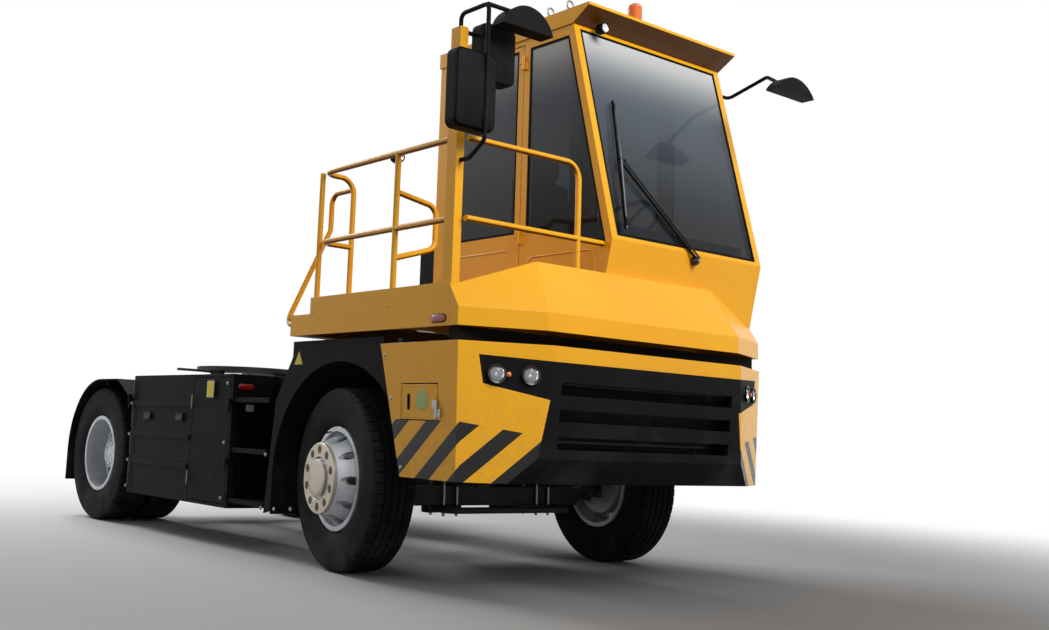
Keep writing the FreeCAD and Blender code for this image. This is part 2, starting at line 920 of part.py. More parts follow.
shaftY = ("frontAxleY + gearboxBack", "rearAxleY - diffRadius - railFlange")
node("propshaft", fused(
    through_bar("y", "shaftRadius", shaftY[0] + " + fitGap", shaftY[1] + " - fitGap",
                ("0", "tyreRadius")),
    through_bar("y", "rearTubeRadius", shaftY[0] + " + fitGap",
                shaftY[0] + " + fitGap + discWall", ("0", "tyreRadius")),
    through_bar("y", "rearTubeRadius", shaftY[1] + " - fitGap - discWall",
                shaftY[1] + " - fitGap", ("0", "tyreRadius")),
))

engineSide = [
    ("frontAxleY - engineReach", "engineBottom"),
    ("frontAxleY + engineBack", "engineBottom"),
    ("frontAxleY + engineBack", "gearboxBottom"),
    ("frontAxleY + gearboxBack", "gearboxBottom"),
    ("frontAxleY + gearboxBack", "gearboxTop"),
    ("frontAxleY + engineBack", "engineTop"),
    ("frontAxleY - engineReach", "engineTop"),
]
node("engine_block", prism("x", engineSide, "-engineHalfWidth", "engineHalfWidth"))

# Rear wheels.

for name, side in (("right", -1), ("left", 1)):
    centres = [("%d * %s" % (side, spot), "rearAxleY", "tyreRadius")
               for spot in ("rearOuterX", "rearInnerX")]
    node("rear_tyres_" + name, gathered(*[tyre(centre) for centre in centres]))
    seats = ("dualSpacing / 2", "dualSpacing / 2")
    outerDisc = wheel_disc(centres[0], str(-side), seats[0])
    innerDisc = wheel_disc(centres[1], str(side), seats[1])
    hub = turned([
        ("%d * (rearInnerX - drumDepth)" % side, "rearSpindleRadius + fitGap"),
        ("%d * (rearInnerX - drumDepth)" % side, "drumRadius"),
        ("%d * rearInnerX" % side, "drumRadius"),
        ("%d * rearInnerX" % side, "hubRadius"),
        ("%d * rearOuterX" % side, "hubRadius"),
        ("%d * rearOuterX" % side, "hubCapRadius"),
        ("%d * (rearOuterX + hubCapReach)" % side, "hubCapRadius"),
        ("%d * (rearOuterX + hubCapReach)" % side, "0"),
        ("%d * (rearOuterX + discWall)" % side, "0"),
        ("%d * (rearOuterX + discWall)" % side, "rearSpindleRadius + fitGap"),
    ], ("0", "rearAxleY", "tyreRadius"))
    node("rear_rims_" + name, fused(rim_barrel(centres[0]), rim_barrel(centres[1]),
                                    outerDisc, innerDisc, hub))


# Front panel, grille, lamps and access door.


def nose_level(inset, corner, front, kink, rear, lean="0"):
    """One outline of the front panel, drawn in by an inset all round."""
    return mirror_points([
        ("halfWidth - (%s) - (%s)" % (lean, inset), "frontAxleY - (%s)" % rear),
        ("halfWidth - (%s) - (%s)" % (lean, inset), "frontAxleY - (%s) + (%s) / 2" % (corner, inset)),
        ("(%s) - (%s) / 4" % (kink, inset), "frontAxleY - (%s) + (%s)" % (front, inset)),
    ])


def nose_solid(inset, over):
    """The front panel's form; over runs it past its top, foot and rear edge."""
    return loft([
        ("fasciaBottom - %s" % over,
         nose_level(inset, "cornerFoot", "valanceFoot", "footKinkX",
                    "fasciaRearFoot - %s" % over, "footInset")),
        ("valanceTop",
         nose_level(inset, "valanceCorner", "valanceReach", "valanceKinkX",
                    "valanceRear - %s" % over, "valanceInset")),
        ("fasciaTop + %s" % over,
         nose_level(inset, "cornerReach", "noseReach", "kinkX", "fasciaRearTop - %s" % over)),
    ])


def nose_shell():
    return cut(nose_solid("0", "0"), nose_solid("fasciaWall", "panelGap"))


def mask_solid(spare):
    """The dark middle of the front panel, drawn in by a spare gap."""
    half = [
        ("maskInnerX - (%s)" % spare, "fasciaBottom - cutPast"),
        ("footKinkX - (%s)" % spare, "fasciaBottom - cutPast"),
        ("footKinkX - (%s)" % spare, "fasciaBottom"),
        ("valanceKinkX - (%s)" % spare, "valanceTop"),
        ("maskInnerX - (%s)" % spare, "maskInnerZ + (%s)" % spare),
        ("maskOuterFootX - (%s)" % spare, "maskOuterFoot + (%s)" % spare),
        ("maskOuterX - (%s)" % spare, "maskOuterTop - (%s)" % spare),
        ("kinkX", "maskTop - (%s)" % spare),
    ]
    return prism("y", mirror_points(half), "noseY - cutPast", "frontAxleY - cornerFoot + cutPast")


accessY = "frontAxleY - accessReach"
accessLow = ("-halfWidth - cutPast", accessY, "accessBottom")
accessHigh = ("-halfWidth + cutPast + fasciaWall", accessY + " + accessLength",
              "accessBottom + accessHeight")
accessHinges = hinge_leaves("accessLean - halfWidth", accessY + " + panelGap / 2",
                            ("accessHingeZ",), -1, 1)
node("fascia", fused(cut(nose_shell(), mask_solid("0"), block(accessLow, accessHigh)),
                     accessHinges[0]))

doorLow = (accessLow[0], accessLow[1] + " + panelGap", accessLow[2] + " + panelGap")
doorHigh = (accessHigh[0], accessHigh[1] + " - panelGap", accessHigh[2] + " - panelGap")
node("access_door", fused(common(nose_shell(), block(doorLow, doorHigh)), accessHinges[1]))

# Head lamps stand square to the panel's slanted corner.

cornerTurn = math.degrees(math.atan2(size("noseReach") - size("cornerReach"),
                                     size("halfWidth") - size("kinkX")))
facetSlope = "(noseReach - cornerReach) / (halfWidth - kinkX)"


def corner_lamp(x, radius, depth, proud):
    """A round lamp through the slanted corner, on the vehicle's left."""
    face = "frontAxleY - cornerReach - (halfWidth - (%s)) * %s" % (x, facetSlope)
    lamp = round_bar("z", radius, depth, (x, face, "lampZ"))
    lamp.Placement.Rotation = Rotation(Vector(0, 0, 1), cornerTurn) * Rotation(Vector(1, 0, 0), 90)
    inner = math.sin(math.radians(cornerTurn))
    outer = math.cos(math.radians(cornerTurn))
    back = "((%s) - (%s))" % (depth, proud)
    place(lamp, ("(%s) - %s * %f" % (x, back, inner), "%s + %s * %f" % (face, back, outer), "lampZ"))
    return lamp


def corner_lamps(spare, depth, proud):
    lamps = [corner_lamp(x, radius + spare, depth, proud) for x, radius in (
        ("outerLampX", "lampRadius"), ("innerLampX", "lampRadius"),
        ("markerLampX", "markerRadius"))]
    return gathered(*lamps)


lampSeats = corner_lamps(" + fitGap", "lampDepth + cutPast", "cutPast / 2")
slots = []
for i in range(int(size("slotCount"))):
    foot = "slotLowest + %d * slotPitch" % i
    slots.append(block(("-slotHalfWidth", "noseY - cutPast", foot),
                       ("slotHalfWidth", "frontAxleY - valanceFoot", foot + " + slotHeight")))
maskPanel = common(nose_shell(), mask_solid("fitGap"))
node("grille", cut(maskPanel, *slots, lampSeats, mirrored(lampSeats)))
node("headlamps", both_sides(corner_lamps("", "lampDepth", "markerRadius / 2")))

# Hood: a faceted cowl across the full width.


def faceted(corners, faces):
    """A closed solid of flat faces, each split into triangles."""
    sheets = []
    for face in faces:
        for i in range(1, len(face) - 1):
            loop = [corners[face[0]], corners[face[i]], corners[face[i + 1]], corners[face[0]]]
            sheets.append(Part.Face(Part.makePolygon(loop)))
    return Part.Solid(Part.Shell(sheets)).removeSplitter()


def hood_form(inset, over):
    """The cowl's outer form, or its hollow when drawn in by an inset."""
    wide = size("halfWidth") - inset
    kink = size("hoodKinkX") - inset / 2
    peakX = size("peakX") - inset / 2
    rearX = size("halfWidth") - inset
    axle = size("frontAxleY")
    corner = axle - size("hoodCorner") + inset / 2
    front = axle - size("hoodReach") + inset
    peakY = axle - size("peakReach") + inset
    ridgeY = axle - size("ridgeRear") + over
    rear = axle - size("hoodRear") + over
    foot = size("hoodBottom") - over
    band = size("hoodBand") - inset / 2
    peakZ = size("peakZ") - inset
    run = Vector(kink - wide, front - corner, 0)
    climb = Vector(peakX - wide, peakY - corner, peakZ - band)
    facing = run.cross(climb)
    rearTop = band - facing.y * (rear - corner) / facing.z
    half = [
        Vector(rearX, rear, foot),
        Vector(wide, corner, foot),
        Vector(kink, front, foot),
        Vector(wide, corner, band),
        Vector(kink, front, band),
        Vector(peakX, peakY, peakZ),
        Vector(rearX, rear, rearTop),
        Vector(peakX, ridgeY, peakZ),
        Vector(peakX, ridgeY, foot),
    ]
    corners = half + [Vector(-p.x, p.y, p.z) for p in half]
    side = [
        (0, 1, 3, 6),
        (1, 2, 4, 3),
        (3, 4, 5, 6),
        (6, 5, 7),
        (0, 6, 7, 8),
        (0, 8, 2, 1),
    ]
    middle = [(2, 11, 13, 4), (4, 13, 14, 5), (5, 14, 16, 7), (7, 16, 17, 8), (8, 17, 11, 2)]
    other = [tuple(9 + i for i in reversed(face)) for face in side]
    solid = faceted(corners, side + middle + other)
    if solid.Volume < 0:
        solid.reverse()
    return solid


hood = doc.addObject("Part::Feature", "cowl")
hood.Shape = hood_form(0, 0).cut(hood_form(size("hoodWall"), size("panelGap")))
cabClear = [
    ("frontAxleY - cabFootReach - panelGap", "deckZ - panelGap"),
    ("frontAxleY - waistReach - panelGap", "waistZ"),
    ("frontAxleY", "waistZ"),
    ("frontAxleY", "deckZ - panelGap"),
]
node("hood", cut(hood, prism("x", cabClear, "-cabRight - panelGap", "cabLeft + cutPast")))

# Platform, handrails and the tall mirror post.

deckY = ("frontAxleY - hoodRear", "deckBackY")
tray = cut(
    block(("-halfWidth", deckY[0], "hoodBottom"), ("halfWidth", deckY[1], "deckZ")),
    block(("skirtWall - halfWidth", deckY[0] + " - cutPast", "hoodBottom - cutPast"),
          ("halfWidth - skirtWall", deckY[1] + " - skirtWall", "deckZ - deckWall")),
)
kick = block(("-halfWidth", deckY[0], "deckZ - deckWall"),
             ("skirtWall - halfWidth", "frontAxleY + kickBack", "kickTop"))
deckBeams = [block(("skirtWall - halfWidth", near, "hoodBottom"),
                   ("halfWidth - skirtWall", near + " + beamWidth", "deckZ - deckWall"))
             for near in ("frontAxleY - mountReach", "frontAxleY + mountBack")]
node("platform", fused(tray, kick, *deckBeams))

post = ("-postX", "frontAxleY - postReach")
node("mirror_post", block((post[0], post[1], "deckZ"),
                          ("postWidth - postX", post[1] + " + postDepth", "postTop")))

axleY = size("frontAxleY")
sideX = -size("sideRailX")
topZ = size("topRailZ")
midZ = size("midRailZ")
deckZ = size("deckZ")
postBackY = axleY - size("postReach") + size("postDepth")
rearPostY = axleY + size("rearPostBack")
thirdY = axleY - size("thirdPostReach")
frontY = axleY - size("frontRailReach")
gateX = -size("gateLegX")
frontLegX = -size("frontLegX")
postSideX = size("postWidth") - size("postX")
gripX = -size("gripX")
gripZ = (size("gripTop"), size("gripBottom"))
rails = [
    tube("tubeRadius", size("railBend"), (sideX, postBackY, topZ), (sideX, rearPostY, topZ),
         (gateX, rearPostY, topZ), (gateX, rearPostY, deckZ)),
    tube("tubeRadius", size("railBend"), (sideX, postBackY, midZ), (sideX, rearPostY, midZ),
         (gateX, rearPostY, midZ)),
    tube("tubeRadius", size("railBend"), (sideX, rearPostY, deckZ), (sideX, rearPostY, topZ)),
    tube("tubeRadius", size("railBend"), (sideX, thirdY, deckZ), (sideX, thirdY, topZ)),
    tube("tubeRadius", size("smallBend"), (sideX, thirdY, gripZ[0] + size("gripRise")),
         (gripX, thirdY, gripZ[0]), (gripX, thirdY, gripZ[1]),
         (sideX, thirdY, gripZ[1] - size("gripFall"))),
    tube("tubeRadius", size("railBend"), (postSideX, frontY, topZ), (frontLegX, frontY, topZ),
         (frontLegX, frontY, deckZ)),
    tube("tubeRadius", size("railBend"), (postSideX, frontY, midZ),
         (-size("cabRight") - size("fitGap"), frontY, midZ)),
    tube("tubeRadius", size("smallBend"), (gateX, rearPostY, size("stairRailZ")),
         (gateX, axleY + size("stairTopBack"), size("stairRailZ")),
         (gateX, axleY + size("stairTopBack"), size("stairBendZ")),
         (sideX, axleY + size("stairFootBack"), size("stairFootZ")),
         (sideX, axleY + size("platformBack") + size("fitGap"), size("stairFootZ"))),
]
node("handrails", fused(*rails))

# Cab.


def screen_y(height, back="0"):
    """Where the windscreen's plane lies at a height, moved back by a depth."""
    return ("frontAxleY - waistReach + screenSlope * ((%s) - waistZ) + (%s)" % (height, back))


def cab_outline(inset, foot, top):
    return [
        ("frontAxleY - waistReach + footSlope * (waistZ - (%s)) + %s" % (foot, inset), foot),
        ("frontAxleY - waistReach + %s" % inset, "waistZ"),
        (screen_y(top, inset), top),
        ("cabBackY - %s" % inset, top),
        ("cabBackY - %s" % inset, foot),
    ]


cabSides = ("-cabRight", "cabLeft")
cabPast = ("-cabRight - cutPast", "cabLeft + cutPast")
innerSides = ("cabWall - cabRight", "cabLeft - cabWall")
screenLow = "waistZ + screenSill"
screenHigh = "screenTop - screenSill"
screenSides = ("pillarWidth - cabRight", "cabLeft - pillarWidth")
rearSides = ("rearGlassInset - cabRight", "cabLeft - rearGlassInset")
doorGlassY = ("frontAxleY - doorReach + doorFrame", "frontAxleY + doorBack - doorFrame")


def screen_slab(near, far, spare):
    """A slab in the windscreen's slope between two depths behind its plane."""
    low = "%s + %s" % (screenLow, spare)
    high = "%s - %s" % (screenHigh, spare)
    outline_ = [(screen_y(low, near), low), (screen_y(low, far), low),
                (screen_y(high, far), high), (screen_y(high, near), high)]
    return prism("x", outline_, "%s + %s" % (screenSides[0], spare),
                 "%s - %s" % (screenSides[1], spare))


def quarter_slab(low, high, spare):
    """The window ahead of the door, its sill falling towards the front."""
    points = [
        (screen_y("glassTop", "pillarWidth + %s" % spare), "glassTop - %s" % spare),
        ("frontAxleY - quarterReach - %s" % spare, "glassTop - %s" % spare),
        ("frontAxleY - quarterReach - %s" % spare, "beltZ + %s" % spare),
        ("frontAxleY - waistReach + pillarWidth + %s" % spare, "quarterFrontZ + %s" % spare),
    ]
    return prism("x", points, low, high)


def side_glass_block(low, high, spare):
    return block((low, "%s + %s" % (doorGlassY[0], spare), "beltZ + %s" % spare),
                 (high, "%s - %s" % (doorGlassY[1], spare), "glassTop - %s" % spare))


shell = cut(
    prism("x", cab_outline("0", "deckZ", "screenTop"), *cabSides),
    prism("x", cab_outline("cabWall", "(deckZ + cabWall)", "(screenTop + cutPast)"), *innerSides),
    screen_slab("-cutPast", "cabWall + cutPast", "0"),
    quarter_slab(cabPast[0], cabPast[1], "0"),
    side_glass_block("cabLeft - cabWall - cutPast", cabPast[1], "0"),
    block((cabPast[0], "frontAxleY - doorReach", "doorBottom"),
          (innerSides[0] + " + cutPast", "frontAxleY + doorBack", "doorTop")),
    block((rearSides[0], "cabBackY - cabWall - cutPast", "beltZ"),
          (rearSides[1], "cabBackY + cutPast", "glassTop")),
)
doorHinges = hinge_leaves("-cabRight", "frontAxleY - doorReach + panelGap / 2",
                          ("beltZ - 2 * hingeLeaf", "glassTop - 4 * hingeLeaf"), -1, 1)
node("cab_shell", fused(shell, doorHinges[0]))

roofSide = [
    ("frontAxleY - visorReach", "roofTop - visorLip"),
    ("frontAxleY - screenTopReach", "screenTop"),
    ("cabBackY + eave", "screenTop"),
    ("cabBackY + eave", "roofTop"),
    ("frontAxleY - visorReach", "roofTop"),
]
node("cab_roof", prism("x", roofSide, "-cabRight - eave", "cabLeft + eave"))

rightPane = ("glassInset - cabRight", "glassInset + glassWall - cabRight")
leftPane = ("cabLeft - glassInset - glassWall", "cabLeft - glassInset")
node("cab_glass", gathered(
    screen_slab("glassInset", "glassInset + glassWall", "fitGap"),
    quarter_slab(*rightPane, "fitGap"),
    quarter_slab(*leftPane, "fitGap"),
    side_glass_block(*leftPane, "fitGap"),
    block((rearSides[0] + " + fitGap", "cabBackY - glassInset - glassWall", "beltZ + fitGap"),
          (rearSides[1] + " - fitGap", "cabBackY - glassInset", "glassTop - fitGap")),
))

doorPanel = block(("-cabRight", "frontAxleY - doorReach + panelGap", "doorBottom + panelGap"),
                  ("doorWall - cabRight", "frontAxleY + doorBack - panelGap", "doorTop - panelGap"))
doorWindow = side_glass_block("-cabRight - cutPast", "doorWall + cutPast - cabRight", "0")
node("door_right", fused(cut(doorPanel, doorWindow), doorHinges[1]))
node("door_right_glass", side_glass_block(*rightPane, "fitGap"))

node("rear_box", block(("-cabRight", "cabBackY + fitGap", "deckZ + cabWall"),
                       ("rearBoxWidth - cabRight", "frontAxleY + boxBack", "rearBoxTop")))

# Inside the cab.

seatFloor = "deckZ + cabWall"
seatSides = ("seatX - seatWidth / 2", "seatX + seatWidth / 2")
seatSide = [
    ("seatY", "seatTop - seatCushion"),
    ("seatY", "seatTop"),
    ("seatY + seatDepth - seatBackWall", "seatTop"),
    ("seatY + seatDepth - seatBackWall / 2", "seatBackTop"),
    ("seatY + seatDepth + seatBackWall / 2", "seatBackTop"),
    ("seatY + seatDepth", "seatTop - seatCushion"),
]
node("seat", prism("x", seatSide, *seatSides))
node("seat_base", fused(
    through_bar("z", "seatBaseRadius", seatFloor, "seatTop - seatCushion - fitGap",
                ("seatX", "seatY + seatDepth / 2")),
    block((seatSides[0], "seatY", "seatTop - seatCushion - fitGap - boxWall"),
          (seatSides[1], "seatY + seatDepth", "seatTop - seatCushion - fitGap")),
))

columnTurn = Rotation(Vector(1, 0, 0), -size("steerTilt"))
wheelSpot = ("seatX", "steerWheelY", "steerWheelZ")
dash = block((innerSides[0] + " + fitGap", "frontAxleY - dashReach", "dashBottom"),
             (innerSides[1] + " - fitGap", "frontAxleY - dashReach + dashDepth", "dashTop"))
column = through_bar("z", "columnRadius", "-steerWheelRadius * 2", "-steerHubDepth - fitGap",
                     ("0", "0"))
columnHolder = place(gathered(column), wheelSpot, columnTurn)
node("dashboard", fused(dash, columnHolder))

rim = doc.addObject("Part::Torus", "rim")
bind(rim, Radius1="steerWheelRadius", Radius2="steerRimRadius")
spokes = [through_bar("x", "steerSpokeRadius", "-steerWheelRadius", "steerWheelRadius",
                      ("0", "0")),
          through_bar("y", "steerSpokeRadius", "-steerWheelRadius", "0", ("0", "0"))]
wheelHub = through_bar("z", "steerHubRadius", "-steerHubDepth", "steerRimRadius", ("0", "0"))
node("steering_wheel", place(fused(rim, wheelHub, *spokes), wheelSpot, columnTurn))

# Fifth wheel, lifting boom and its cylinders.

plateFoot = "plateTop - plateWall"
throat = prism("z", mirror_points([
    ("kingpinBore", "plateY + throatStart"),
    ("throatHalfWidth", "plateY + plateRadius + cutPast"),
]), plateFoot + " - cutPast", "plateTop + cutPast")
plateDisc = cut(through_bar("z", "plateRadius", plateFoot, "plateTop", ("0", "plateY")), throat)
jaw = through_bar("z", "jawRadius", plateFoot, "plateTop", ("0", "plateY"))
lugX = ("boomArmX + panelGap", "boomArmX + panelGap + lugWall")
lug = block((lugX[0], "plateY - lugHalfDepth", "trunnionZ - lugFoot"),
            (lugX[1], "plateY + lugHalfDepth", plateFoot))
pin = through_bar("x", "trunnionRadius", "boomArmX - boomArmWall - panelGap", lugX[1],
                  ("plateY", "trunnionZ"))
handle = through_bar("x", "releaseRadius", "-plateRadius - releaseReach", "-plateRadius / 2",
                     ("plateY + lugHalfDepth + 2 * releaseRadius", plateFoot))
kingHole = through_bar("z", "kingpinBore", plateFoot + " - cutPast", "plateTop + cutPast",
                       ("0", "plateY"))
node("fifth_wheel_plate", cut(fused(plateDisc, jaw, lug, mirrored(lug), pin, mirrored(pin),
                                    handle), kingHole))

armSide = [
    ("boomPivotY - boomTailReach", "boomPivotZ - boomHalfHeight"),
    ("boomPivotY - boomTailReach", "boomPivotZ + boomHalfHeight"),
    ("frontAxleY + boomKneeBack", "boomKneeTop"),
    ("plateY - boomTailReach", "trunnionZ + boomHeadRise"),
    ("plateY + boomHeadRise", "trunnionZ + boomHeadRise"),
    ("plateY + trunnionRadius + boomHeadRise", "trunnionZ"),
    ("plateY + boomHeadRise", "trunnionZ - trunnionRadius - boomHeadRise"),
    ("plateY - boomHeadRise", "trunnionZ - trunnionRadius - boomHeadRise * 2"),
    ("frontAxleY + boomKneeBack + boomHeadRise", "boomKneeFoot"),
]
arm = prism("x", armSide, "boomArmX - boomArmWall", "boomArmX")
boomHalf = "boomArmX - boomArmWall / 2"
sleeve = through_bar("x", "boomSleeveRadius", "-(%s)" % boomHalf, boomHalf,
                     ("boomPivotY", "boomPivotZ"))
eyeSides = ("liftX - liftEyeWall / 2 - panelGap", "liftX + liftEyeWall / 2 + panelGap")
outerPin = through_bar("x", "liftPinRadius", eyeSides[1], boomHalf, ("liftEyeY", "liftEyeZ"))
innerPin = through_bar("x", "liftPinRadius", "-(%s)" % eyeSides[0], eyeSides[0],
                       ("liftEyeY", "liftEyeZ"))
eyeLug = prism("x", [
    ("liftEyeY - liftEyeRadius", "liftEyeZ - liftEyeRadius"),
    ("liftEyeY - liftEyeRadius", "liftEyeZ + liftEyeRadius"),
    ("frontAxleY + boomTieBack", "boomTieZ + boomPinRadius"),
    ("frontAxleY + boomTieBack", "boomTieZ - boomPinRadius"),
    ("liftEyeY + liftEyeRadius", "liftEyeZ - liftEyeRadius"),
], eyeSides[0] + " - boxWall", eyeSides[0])
tie = through_bar("x", "boomPinRadius", "-(%s)" % boomHalf, boomHalf,
                  ("frontAxleY + boomTieBack", "boomTieZ"))
boomBores = [
    through_bar("x", "boomPinRadius + fitGap", "-railX", "railX", ("boomPivotY", "boomPivotZ")),
    through_bar("x", "trunnionRadius + fitGap", "-railX", "railX", ("plateY", "trunnionZ")),
]
node("lift_boom", cut(fused(arm, mirrored(arm), sleeve, outerPin, mirrored(outerPin),
                            innerPin, eyeLug, mirrored(eyeLug), tie), *boomBores))

liftRun = Vector(0, size("liftEyeBack") - size("liftFootBack"),
                 size("liftEyeZ") - size("liftFootZ"))
liftTurn = Rotation(Vector(0, 0, 1), liftRun)
liftLength = "sqrt((liftEyeBack - liftFootBack) ^ 2 + (liftEyeZ - liftFootZ) ^ 2)"


def lift_eye(along):
    """The eye at a cylinder's end and the hole for its pin."""
    eye = through_bar("x", "liftEyeRadius", "-liftEyeWall / 2", "liftEyeWall / 2", ("0", along))
    hole = through_bar("x", "liftPinRadius + fitGap", "-liftEyeWall", "liftEyeWall", ("0", along))
    return eye, hole


barrels = []
rods = []
for side in (-1, 1):
    foot = ("%d * liftX" % side, "liftFootY", "liftFootZ")
    eye, hole = lift_eye("0")
    bore = through_bar("z", "rodRadius + fitGap", "liftEyeRadius + 2 * panelGap",
                       "barrelLength + cutPast", ("0", "0"))
    neck = through_bar("z", "liftNeckRadius", "liftPinRadius", "liftEyeRadius + 2 * panelGap", ("0", "0"))
    body = through_bar("z", "barrelRadius", "liftEyeRadius + panelGap", "barrelLength", ("0", "0"))
    barrels.append(place(cut(fused(eye, neck, body), hole, bore), foot, liftTurn))
    eye, hole = lift_eye(liftLength)
    shank = through_bar("z", "rodRadius", "liftEyeRadius + rodHeadGap", liftLength, ("0", "0"))
    rods.append(place(cut(fused(eye, shank), hole), foot, liftTurn))
node("lift_barrels", gathered(*barrels))
node("lift_rods", gathered(*rods))

# Side box, tank and steps.

boxOut = "-boxX"
boxIn = "-boxIn"
boxY = ("frontAxleY + boxFrontBack", "frontAxleY + boxRearBack")
doorSpan = (boxY[0] + " + boxWall", "frontAxleY + boxDoorBack - boxWall")
boxBody = block((boxOut, boxY[0], "boxBottom"), (boxIn, boxY[1], "boxTop"))
hollow = block((boxOut + " + boxWall", boxY[0] + " + boxWall", "boxBottom + boxWall"),
               (boxIn + " - boxWall", boxY[1] + " - boxWall", "boxTop - boxWall"))
doorHole = block((boxOut + " - cutPast", doorSpan[0], "boxBottom + boxWall"),
                 (boxOut + " + boxWall + cutPast", doorSpan[1], "boxTop - boxWall"))
ledges = [block((boxOut + " - ledgeReach", "frontAxleY + boxDoorBack", foot + " - ledgeHeight / 2"),
                (boxOut + " + boxWall / 2", boxY[1] + " - panelGap", foot + " + ledgeHeight / 2"))
          for foot in ("ledgeTopZ", "ledgeMiddleZ", "ledgeLowZ")]
boxHinges = hinge_leaves(boxOut, doorSpan[0] + " + panelGap / 2",
                         ("ledgeLowZ", "ledgeTopZ - hingeHeight"), -1, 1)
node("side_box", fused(cut(boxBody, hollow, doorHole), boxHinges[0], *ledges))
boxDoor = block((boxOut, doorSpan[0] + " + panelGap", "boxBottom + boxWall + panelGap"),
                (boxOut + " + boxWall", doorSpan[1] + " - panelGap", "boxTop - boxWall - panelGap"))
node("side_box_door", fused(boxDoor, boxHinges[1]))

tankY = ("frontAxleY + tankFrontBack", "frontAxleY + tankFrontBack + tankLength")
tankX = ("tankX - tankDepth", "tankX")
tankZ = ("tankBottom", "tankBottom + tankHeight")
tankParts = [
    block((tankX[0], tankY[0], tankZ[0] + " + tankRound"),
          (tankX[1], tankY[1], tankZ[1] + " - tankRound")),
    block((tankX[0] + " + tankRound", tankY[0], tankZ[0]),
          (tankX[1] + " - tankRound", tankY[1], tankZ[1])),
]
for cornerX in (tankX[0] + " + tankRound", tankX[1] + " - tankRound"):
    for cornerZ in (tankZ[0] + " + tankRound", tankZ[1] + " - tankRound"):
        tankParts.append(through_bar("y", "tankRound", *tankY, (cornerX, cornerZ)))
tankParts.append(through_bar("z", "tankRound / 2", tankZ[1], tankZ[1] + " + tankRound / 4",
                             ("tankX - tankDepth / 2", tankY[0] + " + tankRound * 2")))
node("fuel_tank", fused(*tankParts))

stepY = ("frontAxleY + stepFrontBack", boxY[0] + " - fitGap")
stepBackX = "-stepIn"
treads = [block((boxOut + " + stepSide", stepY[0], "stepLowest + %d * stepPitch" % i),
                (stepBackX, stepY[1], "stepLowest + %d * stepPitch + stepWall" % i))
          for i in range(int(size("stepCount")))]
node("steps_right", fused(block((stepBackX, stepY[0], "stepLowest"),
                                (stepBackX + " + skirtWall", stepY[1], "boxTop")), *treads))

# Wheel arches and rear mudguards.


def arch_form(radius, near, far):
    """A wheel opening: a round top over straight sides."""
    return fused(
        through_bar("x", radius, near, far, ("frontAxleY", "archCentreZ")),
        block((near, "frontAxleY - (%s)" % radius, "-cutPast"),
              (far, "frontAxleY + (%s)" % radius, "archCentreZ")),
    )


archOuter = [
    ("frontAxleY + archFootBack", "archFootZ"),
    ("frontAxleY + archKneeBack", "archKneeZ"),
    ("frontAxleY + archTopBack", "archTopZ"),
    ("frontAxleY + archTopBack", "archCap"),
    ("frontAxleY - fasciaRearTop + panelGap", "archCap"),
    ("frontAxleY - fasciaRearTop + panelGap", "fasciaTop"),
    ("frontAxleY - fasciaRearFoot + panelGap", "fasciaBottom"),
]
archPanel = cut(prism("x", archOuter, "archX - archWall", "archX"),
                arch_form("archRadius", "archX - archWall - cutPast", "archX + cutPast"))
liner = cut(arch_form("archRadius + archWall", "archInnerX", "archX - archWall / 2"),
            arch_form("archRadius", "archInnerX - cutPast", "archX + cutPast"))
linerSpan = block(("archInnerX", "frontAxleY - archReach", "archFootZ"),
                  ("archX", "frontAxleY + archFootBack", "archCap"))
node("wheel_arches", both_sides(fused(archPanel, common(liner, linerSpan))))


def guard_form(inset):
    """The mudguard's side view, solid, drawn in by an inset."""
    top = "guardCentreZ + guardRadius - %s" % inset
    front = [
        ("guardY", "guardFootZ - %s" % inset),
        ("guardY", top),
        ("rearAxleY - guardFlatReach", top),
        ("rearAxleY - guardSlopeReach + %s" % inset, "guardSlopeZ - %s / 2" % inset),
        ("rearAxleY - guardFootReach + %s" % inset, "guardFootZ - %s" % inset),
    ]
    low = "guardInnerX - %s" % inset
    high = "halfWidth + %s" % inset
    round_ = through_bar("x", "guardRadius - %s" % inset, low, high, ("guardY", "guardCentreZ"))
    rear = common(round_, block((low, "guardY", "guardCentreZ"),
                                (high, "guardY + guardRadius", "guardCentreZ + guardRadius")))
    flap = block((low, "guardY", "flapBottom - %s" % inset),
                 (high, "guardY + guardRadius - %s" % inset, "guardCentreZ"))
    return [prism("x", front, low, high), rear, flap]


guard = cut(fused(*guard_form("0")), fused(*guard_form("guardWall")))
node("rear_mudguards", both_sides(guard))
# Chassis frame.


def cross_box(back, bottom="railBottom", top="railTop", half="railX - railWall"):
    """A box member across the frame, its front face at a place behind the axle."""
    return block(("-(%s)" % half, "frontAxleY + %s" % back, bottom),
                 (half, "frontAxleY + %s + crossDepth" % back, top))


def rail_post(low, high, bottom, top):
    """A pair of blocks standing in line with the two frame rails."""
    return [block(("-railX", low, bottom), ("railFlange - railX", high, top)),
            block(("railX - railFlange", low, bottom), ("railX", high, top))]


